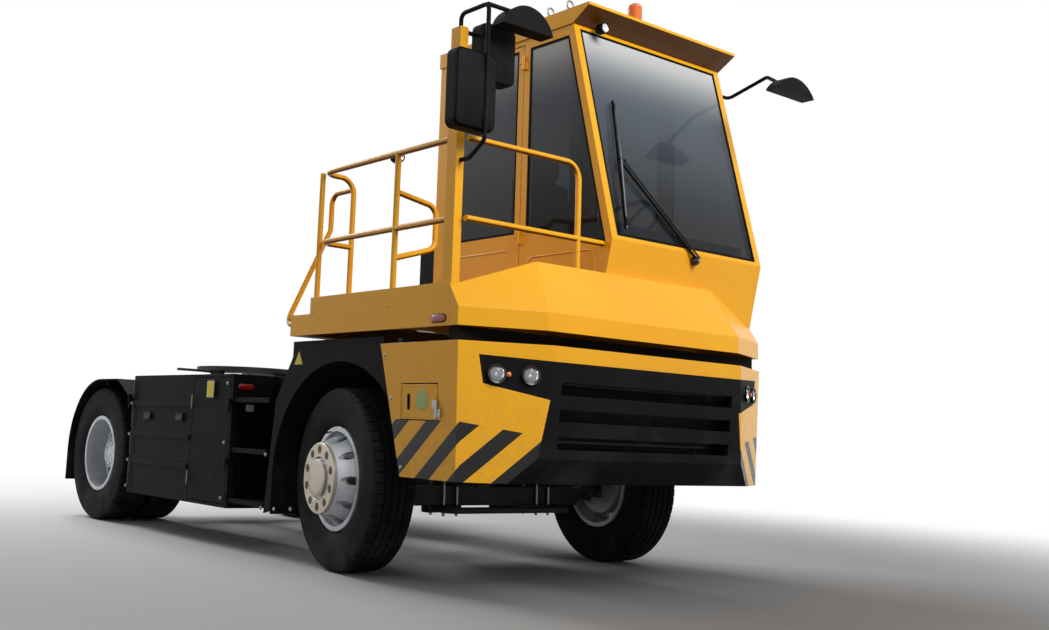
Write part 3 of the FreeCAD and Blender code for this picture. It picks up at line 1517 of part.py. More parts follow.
channel = [
    ("railX", "railBottom"),
    ("railX", "railTop"),
    ("railX - railFlange", "railTop"),
    ("railX - railFlange", "railTop - railWall"),
    ("railX - railWall", "railTop - railWall"),
    ("railX - railWall", "railBottom + railWall"),
    ("railX - railFlange", "railBottom + railWall"),
    ("railX - railFlange", "railBottom"),
]
rail = prism("y", channel, "frontAxleY - railReach", "frontAxleY + railBack")
noseBeamY = ("frontAxleY - noseBeamReach - crossDepth", "frontAxleY - noseBeamReach")
members = [rail, mirrored(rail)]
members.append(block(("crossDepth - railX", "frontAxleY - railReach", "railBottom"),
                     ("railX - crossDepth", "frontAxleY - railReach + crossDepth", "railTop")))
members.append(block(("-railX", "frontAxleY - railReach", "railBottom"),
                     ("railX", "frontAxleY - railReach + railWall", "railTop")))
members.append(cross_box("midCrossBack"))
members.append(cross_box("(railBack - crossDepth)"))
noseBeamHalf = "halfWidth - fasciaWall - noseBeamLean - fitGap"
members.append(block(("-(%s)" % noseBeamHalf, noseBeamY[0], "hoodBottom - noseBeamHeight"),
                     (noseBeamHalf, noseBeamY[1], "hoodBottom")))
members += rail_post(noseBeamY[0], noseBeamY[1], "railTop", "hoodBottom")
for near in ("frontAxleY - mountReach", "frontAxleY + mountBack"):
    members += rail_post(near, near + " + beamWidth", "railTop", "hoodBottom")
for foot in ("boxBracketBack", "(boxBracketBack + boxBracketSpan)"):
    bracket = block(("railX - railWall", "frontAxleY + %s" % foot, "railBottom"),
                    ("boxX - boxDepth", "frontAxleY + %s + crossDepth" % foot,
                     "railBottom + bracketHeight"))
    members += [bracket, mirrored(bracket)]
fenderY = ("frontAxleY - beamWidth / 2", "frontAxleY + beamWidth / 2")
fenderTop = "archCentreZ + archRadius - fenderBracketDrop"
fender = fused(
    block(("railX - railFlange", fenderY[0], "railTop"), ("railX", fenderY[1], fenderTop)),
    block(("railX", fenderY[0], fenderTop + " - bracketHeight"),
          ("archInnerX + cutPast", fenderY[1], fenderTop)),
)
members += [fender, mirrored(fender)]
guardTop = "guardCentreZ + guardRadius - guardWall - guardTubeRadius - fitGap"
for near in ("rearAxleY - guardTubeReach", "guardY"):
    stand = block(("railX - railFlange", "%s - guardTubeRadius" % near, "railTop"),
                  ("railX", "%s + guardTubeRadius" % near, guardTop + " + guardTubeRadius"))
    bar = through_bar("x", "guardTubeRadius", "railX - railFlange / 2", "halfWidth - cutPast",
                      (near, guardTop))
    members += [stand, bar, mirrored(stand), mirrored(bar)]
for near in ("frontAxleY - springHalfLength", "frontAxleY + springHalfLength - hangerLength"):
    members += [block((low, near, "springTopZ + fitGap"), (high, near + " + hangerLength", "railBottom"))
                for low, high in (("-railX", "springWidth - railX"),
                                  ("railX - springWidth", "railX"))]

radiatorBack = "frontAxleY - railReach - fitGap"
node("radiator", block(("-radiatorHalf", radiatorBack + " - radiatorDepth", "radiatorBottom"),
                       ("radiatorHalf", radiatorBack, "radiatorTop")))

# Lugs for the boom's pivot and for the feet of the lift cylinders.

pivotLug = block(("boomArmX + panelGap", "boomPivotY - boomHalfHeight", "boomPivotZ - boomHalfHeight"),
                 ("railX - railWall", "boomPivotY + boomHalfHeight", "boomPivotZ + boomHalfHeight"))
members += [pivotLug, mirrored(pivotLug)]
members.append(through_bar("x", "boomPinRadius", "-(boomArmX + 2 * panelGap)",
                           "boomArmX + 2 * panelGap", ("boomPivotY", "boomPivotZ")))
footBeamY = ("liftFootY - footBeamReach", "liftFootY - footBeamReach + crossDepth")
members.append(block(("railWall - railX", footBeamY[0], "railBottom"),
                     ("railX - railWall", footBeamY[1], "railBottom + bracketHeight")))
for side in (-1, 1):
    middle = "%d * liftX" % side
    for out in (-1, 1):
        near = "%s + %d * (liftEyeWall / 2 + panelGap)" % (middle, out)
        far = "%s + %d * (liftEyeWall / 2 + panelGap + boxWall)" % (middle, out)
        low, high = (near, far) if out > 0 else (far, near)
        members.append(block((low, footBeamY[0], "liftFootZ - liftEyeRadius"),
                             (high, "liftFootY", "liftFootZ + liftEyeRadius")))
        members.append(through_bar("x", "liftEyeRadius", low, high, ("liftFootY", "liftFootZ")))
    pinEnds = ["%s + %d * (liftEyeWall / 2 + panelGap + boxWall)" % (middle, out)
               for out in (-1, 1)]
    members.append(through_bar("x", "liftPinRadius", *pinEnds, ("liftFootY", "liftFootZ")))

# The towing clevis under the nose: two plates and their pin hole.

towY = "frontAxleY - railReach"
for foot in ("towZ", "towZ + towWall + towGap"):
    members.append(block(("-towHalfWidth", towY + " - towReach", foot),
                         ("towHalfWidth", towY + " + crossDepth", foot + " + towWall")))
members.append(block(("-towHalfWidth", towY, "towZ"),
                     ("towHalfWidth", towY + " + crossDepth", "railBottom")))
towHole = through_bar("z", "towPinRadius", "towZ - cutPast", "towZ + 2 * towWall + towGap + cutPast",
                      ("0", towY + " - towReach / 2"))
node("chassis_frame", cut(fused(*members), towHole))

tail = block(("railX + fitGap", "frontAxleY + railBack - tailLampDepth", "tailLampZ"),
             ("railX + tailLampWidth", "frontAxleY + railBack", "tailLampZ + tailLampHeight"))
node("tail_lamps", both_sides(tail))

# Mirrors, wiper, beacon and small lamps.

loopX = -size("loopX")
loopY = axleY - size("loopReach")
postFrontY = axleY - size("postReach")
postMiddleY = postFrontY + size("postDepth") / 2
mirrorBend = size("mirrorBend")
loop = tube("mirrorTube", mirrorBend, (loopX, postMiddleY, size("postTop") + size("fitGap")),
            (loopX, postMiddleY, size("loopTop")), (loopX, loopY, size("loopTop")),
            (loopX, loopY, size("loopBottom")),
            (loopX, postFrontY - 2 * mirrorBend, size("loopFoot")),
            (loopX, postFrontY - size("fitGap"), size("loopFoot")))


def head_place(name, side):
    """Low and high x of a mirror head, and its front face."""
    out, inside = name + "Out", name + "In"
    low, high = ("-" + out, "-" + inside) if side < 0 else (inside, out)
    return low, high, "frontAxleY - %sReach" % name


def flat_head(name, side=-1):
    """A flat mirror head with rounded corners."""
    low, high, front = head_place(name, side)
    back = front + " + mirrorDepth"
    foot, top = name + "Bottom", name + "Top"
    corners = [through_bar("y", "mirrorRound", front, back, (x, z))
               for x in (low + " + mirrorRound", high + " - mirrorRound")
               for z in (foot + " + mirrorRound", top + " - mirrorRound")]
    return fused(block((low + " + mirrorRound", front, foot), (high + " - mirrorRound", back, top)),
                 block((low, front, foot + " + mirrorRound"), (high, back, top + " - mirrorRound")),
                 *corners)


def domed_head(name, side=-1):
    """A domed mirror head: the part of a lying round bar above its foot."""
    low, high, front = head_place(name, side)
    foot, top = name + "Bottom", name + "Top"
    back = front + " + %sDepth" % name
    rise = "(%s - %s)" % (top, foot)
    radius = "(((%s) - (%s)) ^ 2 / 4 + %s ^ 2) / (2 * %s)" % (high, low, rise, rise)
    bar = through_bar("y", radius, front, back,
                      ("((%s) + (%s)) / 2" % (low, high), "%s - %s" % (top, radius)))
    return common(bar, block((low, front, foot), (high, back, top)))


mainClamp = [block(("-loopX - clampHalfWidth", "frontAxleY - loopReach", foot),
                   ("-loopX + clampHalfWidth", "frontAxleY - mainMirrorReach",
                    foot + " + clampHeight"))
             for foot in ("mainMirrorBottom + clampHeight", "mainMirrorTop - 2 * clampHeight")]
sideArm = through_bar("x", "mirrorTube", "postWidth + fitGap - postX", "-sideMirrorOut + mirrorTube",
                      ("frontAxleY - postReach + mirrorTube", "sideMirrorTop - clampHeight"))
kerbArm = through_bar("x", "mirrorTube", "-loopX", "-(kerbMirrorOut + kerbMirrorIn) / 2",
                      ("frontAxleY - loopReach + mirrorTube", "loopTop"))
node("mirror_right", fused(loop, flat_head("mainMirror"), flat_head("sideMirror"),
                           domed_head("kerbMirror"), *mainClamp, sideArm, kerbArm))

armMirrorY = axleY - size("armMirrorReach") + size("armMirrorDepth") / 2
armHeadX = (size("armMirrorOut") + size("armMirrorIn")) / 2
armTube = tube("mirrorTube", mirrorBend,
               (size("cabLeft") + size("fitGap"), axleY - size("armFootReach"), size("armFootZ")),
               (size("armElbowX"), axleY - size("armFootReach"), size("armFootZ")),
               (size("armElbowX"), axleY - size("armElbowReach"), size("armElbowZ")),
               (armHeadX, armMirrorY + size("armMirrorDepth"), size("armMirrorTop")),
               (armHeadX, armMirrorY, size("armMirrorTop") - mirrorBend))
node("mirror_left", fused(armTube, domed_head("armMirror", 1)))


def screen_spot(x, z, stand):
    """A point in front of the windscreen's plane."""
    slope = size("screenSlope")
    y = axleY - size("waistReach") + slope * (z - size("waistZ")) - stand
    return (x, y, z)


stand = size("wiperStand")
tip = screen_spot(size("wiperTipX"), size("wiperTipZ"), stand)
heel = screen_spot(size("wiperHeelX"), size("wiperHeelZ"), stand)
jointSpot = screen_spot(size("wiperJointX"), size("wiperJointZ"), stand)
pivot = (size("wiperX"), axleY - size("waistReach") - stand, size("wiperZ"))
wallY = (axleY - size("waistReach") - size("fitGap")
         + size("footSlope") * (size("waistZ") - size("wiperZ") - size("wiperRadius")))
wallSpot = (size("wiperX"), wallY, size("wiperZ"))
node("wiper", fused(
    tube("wiperRadius", size("wiperBend"), tip, heel),
    tube("wiperRadius", size("wiperBend") / 2, wallSpot, pivot, jointSpot),
))

beacon = through_bar("z", "beaconRadius", "roofTop", "roofTop + beaconHeight",
                     ("beaconX", "frontAxleY - beaconReach"))
beaconFoot = through_bar("z", "beaconFootRadius", "roofTop", "roofTop + beaconFootHeight",
                         ("beaconX", "frontAxleY - beaconReach"))
node("beacon", fused(beacon, beaconFoot))
hoodMarkerY = "frontAxleY - hoodMarkerReach"
hoodMarker = block(("-halfWidth - markerWall", hoodMarkerY, "hoodMarkerZ - markerHeight / 2"),
                   ("-halfWidth - fitGap", hoodMarkerY + " + markerLength",
                    "hoodMarkerZ + markerHeight / 2"))
stepMarker = block((stepBackX + " - markerWall", "frontAxleY + stepMarkerBack", "stepMarkerZ"),
                   (stepBackX + " - fitGap", "frontAxleY + stepMarkerBack + markerLength",
                    "stepMarkerZ + markerHeight"))
node("side_markers", gathered(hoodMarker, mirrored(hoodMarker), stepMarker))
visorLamp = through_bar("y", "workLampRadius", "frontAxleY - workLampReach - workLampRadius",
                        "frontAxleY - workLampReach + workLampRadius", ("workLampX", "visorLampZ"))
railLamp = through_bar("x", "workLampRadius", "-sideRailX + tubeRadius + fitGap",
                       "-sideRailX + tubeRadius + workLampRadius * 2",
                       ("frontAxleY - railLampReach", "topRailZ"))
node("work_lamps", gathered(visorLamp, railLamp))

# Check every object before anything is written.

doc.recompute()
failed = [thing for thing in doc.Objects if "Invalid" in thing.State or "Error" in thing.State]
if failed:
    raise RuntimeError("failed objects: " + ", ".join(thing.Label for thing in failed))
for name, thing in nodes.items():
    if thing.Shape.isNull() or not thing.Shape.isValid() or not thing.Shape.Solids:
        raise RuntimeError(name + " has no valid solid")
for name, thing in nodes.items():
    thing.Shape.exportStep("parts/%s.step" % name)
box = Part.makeCompound([thing.Shape for thing in nodes.values()]).BoundBox
print("nodes:", len(nodes))
print("overall box:", [round(v, 1) for v in (box.XMin, box.YMin, box.ZMin)],
      [round(v, 1) for v in (box.XMax, box.YMax, box.ZMax)])
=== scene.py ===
import json
import math

import bmesh
import bpy
import numpy as np
from mathutils import Matrix, Vector


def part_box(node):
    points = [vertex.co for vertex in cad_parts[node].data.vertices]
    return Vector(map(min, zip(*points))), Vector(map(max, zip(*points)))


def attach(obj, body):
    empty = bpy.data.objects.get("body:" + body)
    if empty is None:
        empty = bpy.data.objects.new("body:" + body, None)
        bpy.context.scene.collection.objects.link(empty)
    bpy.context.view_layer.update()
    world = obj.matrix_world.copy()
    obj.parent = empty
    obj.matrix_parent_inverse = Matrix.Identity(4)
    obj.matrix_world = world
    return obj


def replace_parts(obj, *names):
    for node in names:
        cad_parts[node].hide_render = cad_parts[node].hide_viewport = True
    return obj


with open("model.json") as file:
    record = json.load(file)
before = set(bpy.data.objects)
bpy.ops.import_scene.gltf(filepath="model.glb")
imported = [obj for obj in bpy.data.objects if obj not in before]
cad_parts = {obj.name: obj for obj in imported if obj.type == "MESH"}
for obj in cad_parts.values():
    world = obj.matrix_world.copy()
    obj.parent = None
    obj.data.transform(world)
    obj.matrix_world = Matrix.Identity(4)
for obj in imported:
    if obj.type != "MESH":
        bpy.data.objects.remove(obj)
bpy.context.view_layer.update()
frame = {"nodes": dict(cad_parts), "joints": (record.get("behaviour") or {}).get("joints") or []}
cadNodes = frame["nodes"]
jointNamed = {joint["name"]: joint for joint in frame["joints"]}
print("frame loaded:", len(cadNodes), "nodes")

# surfaces: every shape is a pair of arrays, its points and its four-cornered faces


def gridShape(points, loopRows=False, loopCols=False, flip=False):
    # points is rows x cols x 3; each face joins two neighbours in a row with the two in the next row
    rows, cols = points.shape[:2]
    i = np.arange(rows if loopRows else rows - 1)[:, None]
    j = np.arange(cols if loopCols else cols - 1)[None, :]
    nextI = (i + 1) % rows
    nextJ = (j + 1) % cols
    faces = np.stack(np.broadcast_arrays(i * cols + j, nextI * cols + j,
                                         nextI * cols + nextJ, i * cols + nextJ), -1)
    faces = faces.reshape(-1, 4)
    return points.reshape(-1, 3), faces[:, ::-1] if flip else faces


def aimedAxes(direction):
    # three unit vectors as columns, the last along the direction
    along = np.array(direction, float)
    along = along / np.linalg.norm(along)
    helper = np.array((0, 0, 1.0)) if abs(along[2]) < 0.9 else np.array((0, 1.0, 0))
    side = np.cross(helper, along)
    side = side / np.linalg.norm(side)
    return np.stack([side, np.cross(along, side), along], 1)


def placed(shape, at=(0, 0, 0), axes=None):
    # turns a shape by three axis columns, then moves it
    points, faces = shape
    turned = points if axes is None else points @ np.asarray(axes, float).T
    return turned + np.array(at, float), faces


def joined(*shapes):
    # stacks shapes and shifts each one's face numbers past the points before it
    counts = np.cumsum([0] + [len(points) for points, faces in shapes[:-1]])
    return (np.concatenate([points for points, faces in shapes]),
            np.concatenate([faces + start for (points, faces), start in zip(shapes, counts)]))


def copied(shape, spots, axes=None):
    # one copy of the shape at each spot, all in one array product
    points, faces = shape
    spots = np.asarray(spots, float).reshape(-1, 3)
    turns = np.eye(3) if axes is None else np.asarray(axes, float)
    if turns.ndim == 2:
        turns = np.broadcast_to(turns, (len(spots), 3, 3))
    moved = np.einsum("kij,nj->kni", turns, points) + spots[:, None, :]
    shift = (np.arange(len(spots)) * len(points))[:, None, None]
    return moved.reshape(-1, 3), (faces[None] + shift).reshape(-1, 4)


def mirroredX(shape):
    # the same shape across the X = 0 plane, its faces turned back outwards
    points, faces = shape
    return points * np.array((-1, 1, 1)), faces[:, ::-1]


def turned(profile, sides=48, start=0.0):
    # a profile of (height, radius) pairs turned about Z: point = (r cos t, r sin t, h)
    profile = np.asarray(profile, float)
    angle = start + np.arange(sides) * 2 * math.pi / sides
    radius = profile[:, 1][:, None]
    height = np.broadcast_to(profile[:, 0][:, None], (len(profile), sides))
    points = np.stack([radius * np.cos(angle), radius * np.sin(angle), height], -1)
    return gridShape(points, loopCols=True, flip=True)


def ringOutline(width, height, corner, steps=5):
    # a rounded rectangle: each corner's centre plus a quarter turn of the corner radius
    angle = (np.arange(4)[:, None] * 90 + np.linspace(0, 90, steps)) * math.pi / 180
    signX = np.array((1, -1, -1, 1))[:, None]
    signY = np.array((1, 1, -1, -1))[:, None]
    x = signX * (width / 2 - corner) + corner * np.cos(angle)
    y = signY * (height / 2 - corner) + corner * np.sin(angle)
    return np.stack([x.ravel(), y.ravel()], -1)


def pillow(width, height, depth, corner, edge, steps=5, crown=0.0):
    # rounded rectangle rings stacked along Z, drawn in by a quarter round at both ends;
    # crown lifts the far face by crown * (1 - x^2)(1 - y^2)
    turn = np.linspace(0, math.pi / 2, 4)
    inset = np.concatenate([edge * (1 - np.sin(turn)), edge * (1 - np.cos(turn))])
    rise = np.concatenate([edge * (1 - np.cos(turn)), depth - edge * (1 - np.sin(turn))])
    rings = []
    for draw, z in zip(inset, rise):
        outline = ringOutline(width - 2 * draw, height - 2 * draw, max(corner - draw, edge * 0.2), steps)
        rings.append(np.column_stack([outline, np.full(len(outline), z)]))
    top = rings[-1]
    shares = (0.66, 0.33, 0.0)
    for share in shares:
        ring = top * np.array((share, share, 1))
        ring[:, 2] += crown * (1 - share ** 2)
        rings.append(ring)
    base = rings[0] * np.array((0, 0, 1))
    points = np.stack([base] + rings)
    return gridShape(points, loopCols=True, flip=True)


def slab(low, high, edge=0.003, corner=None):
    # a block between two corners with its edges rounded
    low, high = np.array(low, float), np.array(high, float)
    size = high - low
    spare = min(edge, size.min() * 0.45)
    shape = pillow(size[0], size[1], size[2], max(corner or spare, spare), spare, 3)
    return placed(shape, ((low[0] + high[0]) / 2, (low[1] + high[1]) / 2, low[2]))


def bentPath(corners, bend, steps=7):
    # straight runs, each inner corner replaced by an arc of the bend radius
    corners = [np.array(corner, float) for corner in corners]
    path = [corners[0]]
    for before, here, after in zip(corners[:-2], corners[1:-1], corners[2:]):
        back = (before - here) / np.linalg.norm(before - here)
        ahead = (after - here) / np.linalg.norm(after - here)
        half = math.acos(np.clip(back @ ahead, -1, 1)) / 2
        middle = back + ahead
        middle = here + middle / np.linalg.norm(middle) * bend / math.sin(half)
        first = here + back * bend / math.tan(half) - middle
        last = here + ahead * bend / math.tan(half) - middle
        sweep = math.pi - 2 * half
        share = np.linspace(0, 1, steps)[:, None]
        arc = (np.sin((1 - share) * sweep) * first + np.sin(share * sweep) * last) / math.sin(sweep)
        path.extend(middle + arc)
    path.append(corners[-1])
    return np.array(path)


def tubeAlong(path, radius, sides=14, flat=1.0, closed=True):
    # a ring of the radius carried along the path, square to its direction
    path = np.asarray(path, float)
    heading = np.gradient(path, axis=0)
    heading /= np.linalg.norm(heading, axis=1)[:, None]
    spread = heading.max(0) - heading.min(0)
    helper = np.eye(3)[int(np.argmin(np.abs(heading).max(0) + 0.1 * spread))]
    side = np.cross(helper, heading)
    side /= np.linalg.norm(side, axis=1)[:, None]
    up = np.cross(heading, side)
    angle = np.arange(sides) * 2 * math.pi / sides
    around = (np.cos(angle)[None, :, None] * side[:, None]
              + flat * np.sin(angle)[None, :, None] * up[:, None])
    wide = np.broadcast_to(np.asarray(radius, float), (len(path),))[:, None, None]
    points = path[:, None] + around * wide
    if closed:
        ends = [np.repeat(path[:1], sides, 0)[None], points, np.repeat(path[-1:], sides, 0)[None]]
        points = np.concatenate(ends)
    return gridShape(points, loopCols=True, flip=True)


def sheetAlong(outline, depth):
    # a flat outline in XY given a thickness along Z, its ends closed to the middle
    outline = np.asarray(outline, float)
    middle = np.broadcast_to(outline.mean(0), outline.shape)
    levels = [(middle, 0), (outline, 0), (outline, depth), (middle, depth)]
    points = np.stack([np.column_stack([ring, np.full(len(ring), z)]) for ring, z in levels])
    return gridShape(points, loopCols=True, flip=True)


def hexNut(across, height, sides=6):
    # a six-sided ring drawn in at its top by a small chamfer
    radius = across / math.sqrt(3)
    rise = height - radius * 0.16
    return turned([(0, 0), (0, radius), (rise, radius), (height, radius * 0.84), (height, 0)], sides)


def addPiece(name, shape, body, finish, sharp=35):
    # makes the mesh, closes its seams and poles, and shades it smooth below an angle
    points, faces = shape
    mesh = bpy.data.meshes.new(name)
    mesh.from_pydata(points.tolist(), [], faces.tolist())
    tool = bmesh.new()
    tool.from_mesh(mesh)
    bmesh.ops.remove_doubles(tool, verts=tool.verts, dist=0.00002)
    bmesh.ops.dissolve_degenerate(tool, edges=tool.edges, dist=0.00001)
    tool.to_mesh(mesh)
    tool.free()
    mesh.shade_smooth()
    mesh.set_sharp_from_angle(angle=math.radians(sharp))
    piece = bpy.data.objects.new(name, mesh)
    bpy.context.scene.collection.objects.link(piece)
    mesh.materials.append(finish["material"])
    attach(piece, body)
    return piece


# finishes: shader maths written as sums of wires


class Wire:
    # one socket of a shader tree; arithmetic on it adds Math nodes
    def __init__(self, owner, socket):
        self.owner = owner
        self.socket = socket

    def maths(self, operation, *others, clamp=False):
        inputs = dict(enumerate((self,) + others))
        return self.owner.node("ShaderNodeMath", {"operation": operation, "use_clamp": clamp}, inputs)

    def __add__(self, other):
        return self.maths("ADD", other)

    def __radd__(self, other):
        return self.maths("ADD", other)

    def __sub__(self, other):
        return self.maths("SUBTRACT", other)

    def __rsub__(self, other):
        return (self * -1).maths("ADD", other)

    def __mul__(self, other):
        return self.maths("MULTIPLY", other)

    def __rmul__(self, other):
        return self.maths("MULTIPLY", other)

    def __truediv__(self, other):
        return self.maths("DIVIDE", other)

    def __gt__(self, other):
        return self.maths("GREATER_THAN", other)

    def __lt__(self, other):
        return self.maths("LESS_THAN", other)

    def size(self):
        return self.maths("ABSOLUTE")

    def share(self):
        return self.maths("FRACT")

    def limited(self):
        return self.maths("ADD", 0.0, clamp=True)

    def lowest(self, other):
        return self.maths("MINIMUM", other)

    def highest(self, other):
        return self.maths("MAXIMUM", other)

    def smooth(self, low, high):
        # 0 below low, 1 above high, eased between them
        return self.owner.node("ShaderNodeMapRange", {"interpolation_type": "SMOOTHSTEP"},
                                {"Value": self, "From Min": low, "From Max": high})


class ShaderTree:
    # a tree of nodes: node() adds any node, from its type, its settings and its inputs
    def __init__(self, tree):
        self.tree = tree

    def feed(self, target, value):
        if isinstance(value, Wire):
            self.tree.links.new(value.socket, target)
        else:
            target.default_value = value

    def node(self, kind, settings, inputs, output=0):
        made = self.tree.nodes.new(kind)
        for name, value in settings.items():
            setattr(made, name, value)
        for name, value in inputs.items():
            self.feed(made.inputs[name], value)
        return Wire(self, made.outputs[output])


class Finish(ShaderTree):
    # a material being built: blend() mixes colours, close() wires the shader
    def __init__(self, name):
        self.material = bpy.data.materials.new(name)
        self.material.use_nodes = True
        super().__init__(self.material.node_tree)
        self.shader = self.tree.nodes["Principled BSDF"]
        self.place = self.node("ShaderNodeTexCoord", {}, {}, "Object")

    def blend(self, share, first, second):
        # the colour sockets of a Mix node are 6 and 7, and its colour comes out of socket 2
        settings = {"data_type": "RGBA", "clamp_factor": True}
        return self.node("ShaderNodeMix", settings, {0: share, 6: first, 7: second}, 2)

    def noise(self, scale, detail=3.0, rough=0.5):
        inputs = {"Vector": self.place, "Scale": scale, "Detail": detail, "Roughness": rough}
        return self.node("ShaderNodeTexNoise", {}, inputs)

    def along(self, axis):
        return self.node("ShaderNodeSeparateXYZ", {}, {0: self.place}, axis)

    def facing(self, axis):
        normal = self.node("ShaderNodeNewGeometry", {}, {}, "Normal")
        return self.node("ShaderNodeSeparateXYZ", {}, {0: normal}, axis)

    def worn(self, radius=0.006):
        # near 1 on sharp edges: how far the rounded normal turns from the true one
        rounded = self.node("ShaderNodeBevel", {"samples": 4}, {"Radius": radius})
        true = self.node("ShaderNodeNewGeometry", {}, {}, "True Normal")
        match = self.node("ShaderNodeVectorMath", {"operation": "DOT_PRODUCT"}, {0: rounded, 1: true},
                          "Value")
        return (1 - match).smooth(0.02, 0.2)

    def close(self, colour, rough, bump=None, strength=0.2, depth=0.001, soften=0.0, **fixed):
        # varying colour, roughness and bump; everything else is set on the shader itself
        self.feed(self.shader.inputs["Base Color"], colour)
        self.feed(self.shader.inputs["Roughness"], rough)
        normal = None
        if soften:
            normal = self.node("ShaderNodeBevel", {"samples": 4}, {"Radius": soften})
        if bump is not None:
            inputs = {"Strength": strength, "Distance": depth, "Height": bump}
            if normal is not None:
                inputs["Normal"] = normal
            normal = self.node("ShaderNodeBump", {}, inputs)
        if normal is not None:
            self.feed(self.shader.inputs["Normal"], normal)
        for name, value in fixed.items():
            self.feed(self.shader.inputs[name.replace("_", " ")], value)
        return self.material


def shade(red, green, blue):
    # a colour as it looks on a screen, turned into light values
    mixed = np.array((red, green, blue)) / 255
    linear = np.where(mixed <= 0.04045, mixed / 12.92, ((mixed + 0.055) / 1.055) ** 2.4)
    return tuple(float(part) for part in linear) + (1.0,)


paintCare = {
    "amber": shade(242, 173, 16),
    "amberDeep": shade(232, 158, 10),
    "scuffed": shade(200, 140, 50),
    "stripe": shade(20, 19, 18),
    "graphite": shade(17, 17, 17),
    "graphiteLight": shade(27, 27, 27),
    # painted shade for the faces that look down
    "underside": shade(74, 30, 10),
    "dust": shade(120, 112, 100),
    "roadDust": shade(96, 90, 82),
    "bareEdge": shade(80, 78, 76),
    "iron": shade(34, 34, 35),
    "ironPale": shade(62, 58, 54),
    "rubber": shade(20, 20, 21),
    "rubberPale": shade(31, 31, 32),
    "silver": shade(206, 209, 214),
    "silverDark": shade(164, 168, 175),
    "bronze": shade(210, 200, 182),
    "bronzeDark": shade(176, 163, 142),
    "tint": shade(24, 30, 35),
    # painted reflection of the sky on the glass: paler up the pane, whitest at the head
    "tintHead": shade(92, 101, 111),
    "skyBand": shade(222, 223, 220),
    "rod": shade(176, 176, 174),
    "rodDark": shade(140, 138, 132),
    "mirror": shade(214, 218, 222),
    "cloth": shade(30, 31, 34),
    "clothRidge": shade(62, 64, 70),
    "clear": shade(246, 248, 250),
}


def roadDust(finish, top, bottom):
    # more dust low down and in patches, as spray leaves it
    height = finish.along(2)
    patches = finish.noise(2.2, 5.0, 0.6)
    return ((1 - height.smooth(bottom, top)) * 0.7 + (patches - 0.45) * 0.9).limited()


# how strongly each finish mirrors, kept low because the world is white to gloss
glossCare = {"amber": 0.22, "amberCoat": 0.16, "graphite": 0.04, "rubber": 0.1, "glass": 0.2,
             "plastic": 0.05, "lensCoat": 0.6}


def amberPaint(name="amberPaint", stripes=None):
    # two close yellows drifting into each other, dust low down, scuffed edges, and painted shade that
    # darkens the faces looking down
    finish = Finish(name)
    drift = finish.noise(1.3, 2.0)
    orange = finish.noise(420.0, 1.0)
    fine = finish.noise(26.0, 5.0, 0.65)
    colour = finish.blend(drift.smooth(0.35, 0.65) * 0.35, paintCare["amber"], paintCare["amberDeep"])
    dust = roadDust(finish, 1.5, 0.5) * fine.smooth(0.35, 0.7) * 0.28
    colour = finish.blend(dust, colour, paintCare["dust"])
    edge = finish.worn(0.004) * fine.smooth(0.5, 0.62) * 0.35
    colour = finish.blend(edge, colour, paintCare["scuffed"])
    if stripes is not None:
        colour = finish.blend(stripes(finish), colour, paintCare["stripe"])
    # painted shade: faces that look down are blended towards a deep brown, as if in shadow
    under = (finish.facing(2) * -1.0).smooth(0.25, 0.6) * 0.92
    colour = finish.blend(under, colour, paintCare["underside"])
    rough = 0.26 + fine * 0.10 + dust * 0.5 + edge * 0.3
    material = finish.close(colour, rough, orange, 0.05, 0.0006, 0.004,
                            Coat_Weight=glossCare["amberCoat"], Coat_Roughness=0.08,
                            Specular_IOR_Level=glossCare["amber"])
    return {"material": material, "slot": "body_paint"}


def graphitePaint(rough=0.42):
    # a dull dark coat with clouds of a paler one, road dust and edges rubbed grey
    finish = Finish("graphitePaint")
    texture = finish.noise(180.0, 2.0)
    cloud = finish.noise(3.1, 4.0, 0.6)
    fine = finish.noise(34.0, 5.0, 0.65)
    colour = finish.blend(cloud.smooth(0.4, 0.7) * 0.4, paintCare["graphite"], paintCare["graphiteLight"])
    dust = roadDust(finish, 1.1, 0.3) * fine.smooth(0.4, 0.75) * 0.3
    colour = finish.blend(dust, colour, paintCare["roadDust"])
    edge = finish.worn(0.004) * fine.smooth(0.45, 0.6) * 0.4
    colour = finish.blend(edge * 0.6, colour, paintCare["bareEdge"])
    roughness = rough + fine * 0.16 + dust * 0.5
    material = finish.close(colour, roughness, texture, 0.12, 0.0008, 0.003,
                            Specular_IOR_Level=glossCare["graphite"])
    return {"material": material, "slot": "frame_paint"}


def castSteel():
    # rough grey iron with a coarse grain and dust in its hollows
    finish = Finish("castSteel")
    grain = finish.noise(95.0, 4.0, 0.6)
    cloud = finish.noise(5.0, 4.0)
    colour = finish.blend(cloud.smooth(0.35, 0.7), paintCare["iron"], paintCare["ironPale"])
    dust = roadDust(finish, 0.9, 0.3) * grain.smooth(0.35, 0.7) * 0.45
    colour = finish.blend(dust, colour, paintCare["roadDust"])
    material = finish.close(colour, 0.55 + grain * 0.25, grain, 0.35, 0.0015, 0.004, Metallic=0.25)
    return {"material": material, "slot": "cast_metal"}


def tyreRubber():
    # matt black with clouds of grey dust towards the ground
    finish = Finish("tyreRubber")
    fine = finish.noise(240.0, 3.0)
    cloud = finish.noise(7.0, 4.0, 0.6)
    colour = finish.blend(cloud.smooth(0.35, 0.7), paintCare["rubber"], paintCare["rubberPale"])
    dust = roadDust(finish, 0.5, 0.0) * cloud.smooth(0.3, 0.8) * 0.4
    colour = finish.blend(dust, colour, paintCare["roadDust"])
    material = finish.close(colour, 0.68 + fine * 0.16, fine, 0.2, 0.0006,
                            Specular_IOR_Level=glossCare["rubber"])
    return {"material": material, "slot": "tyre_rubber"}


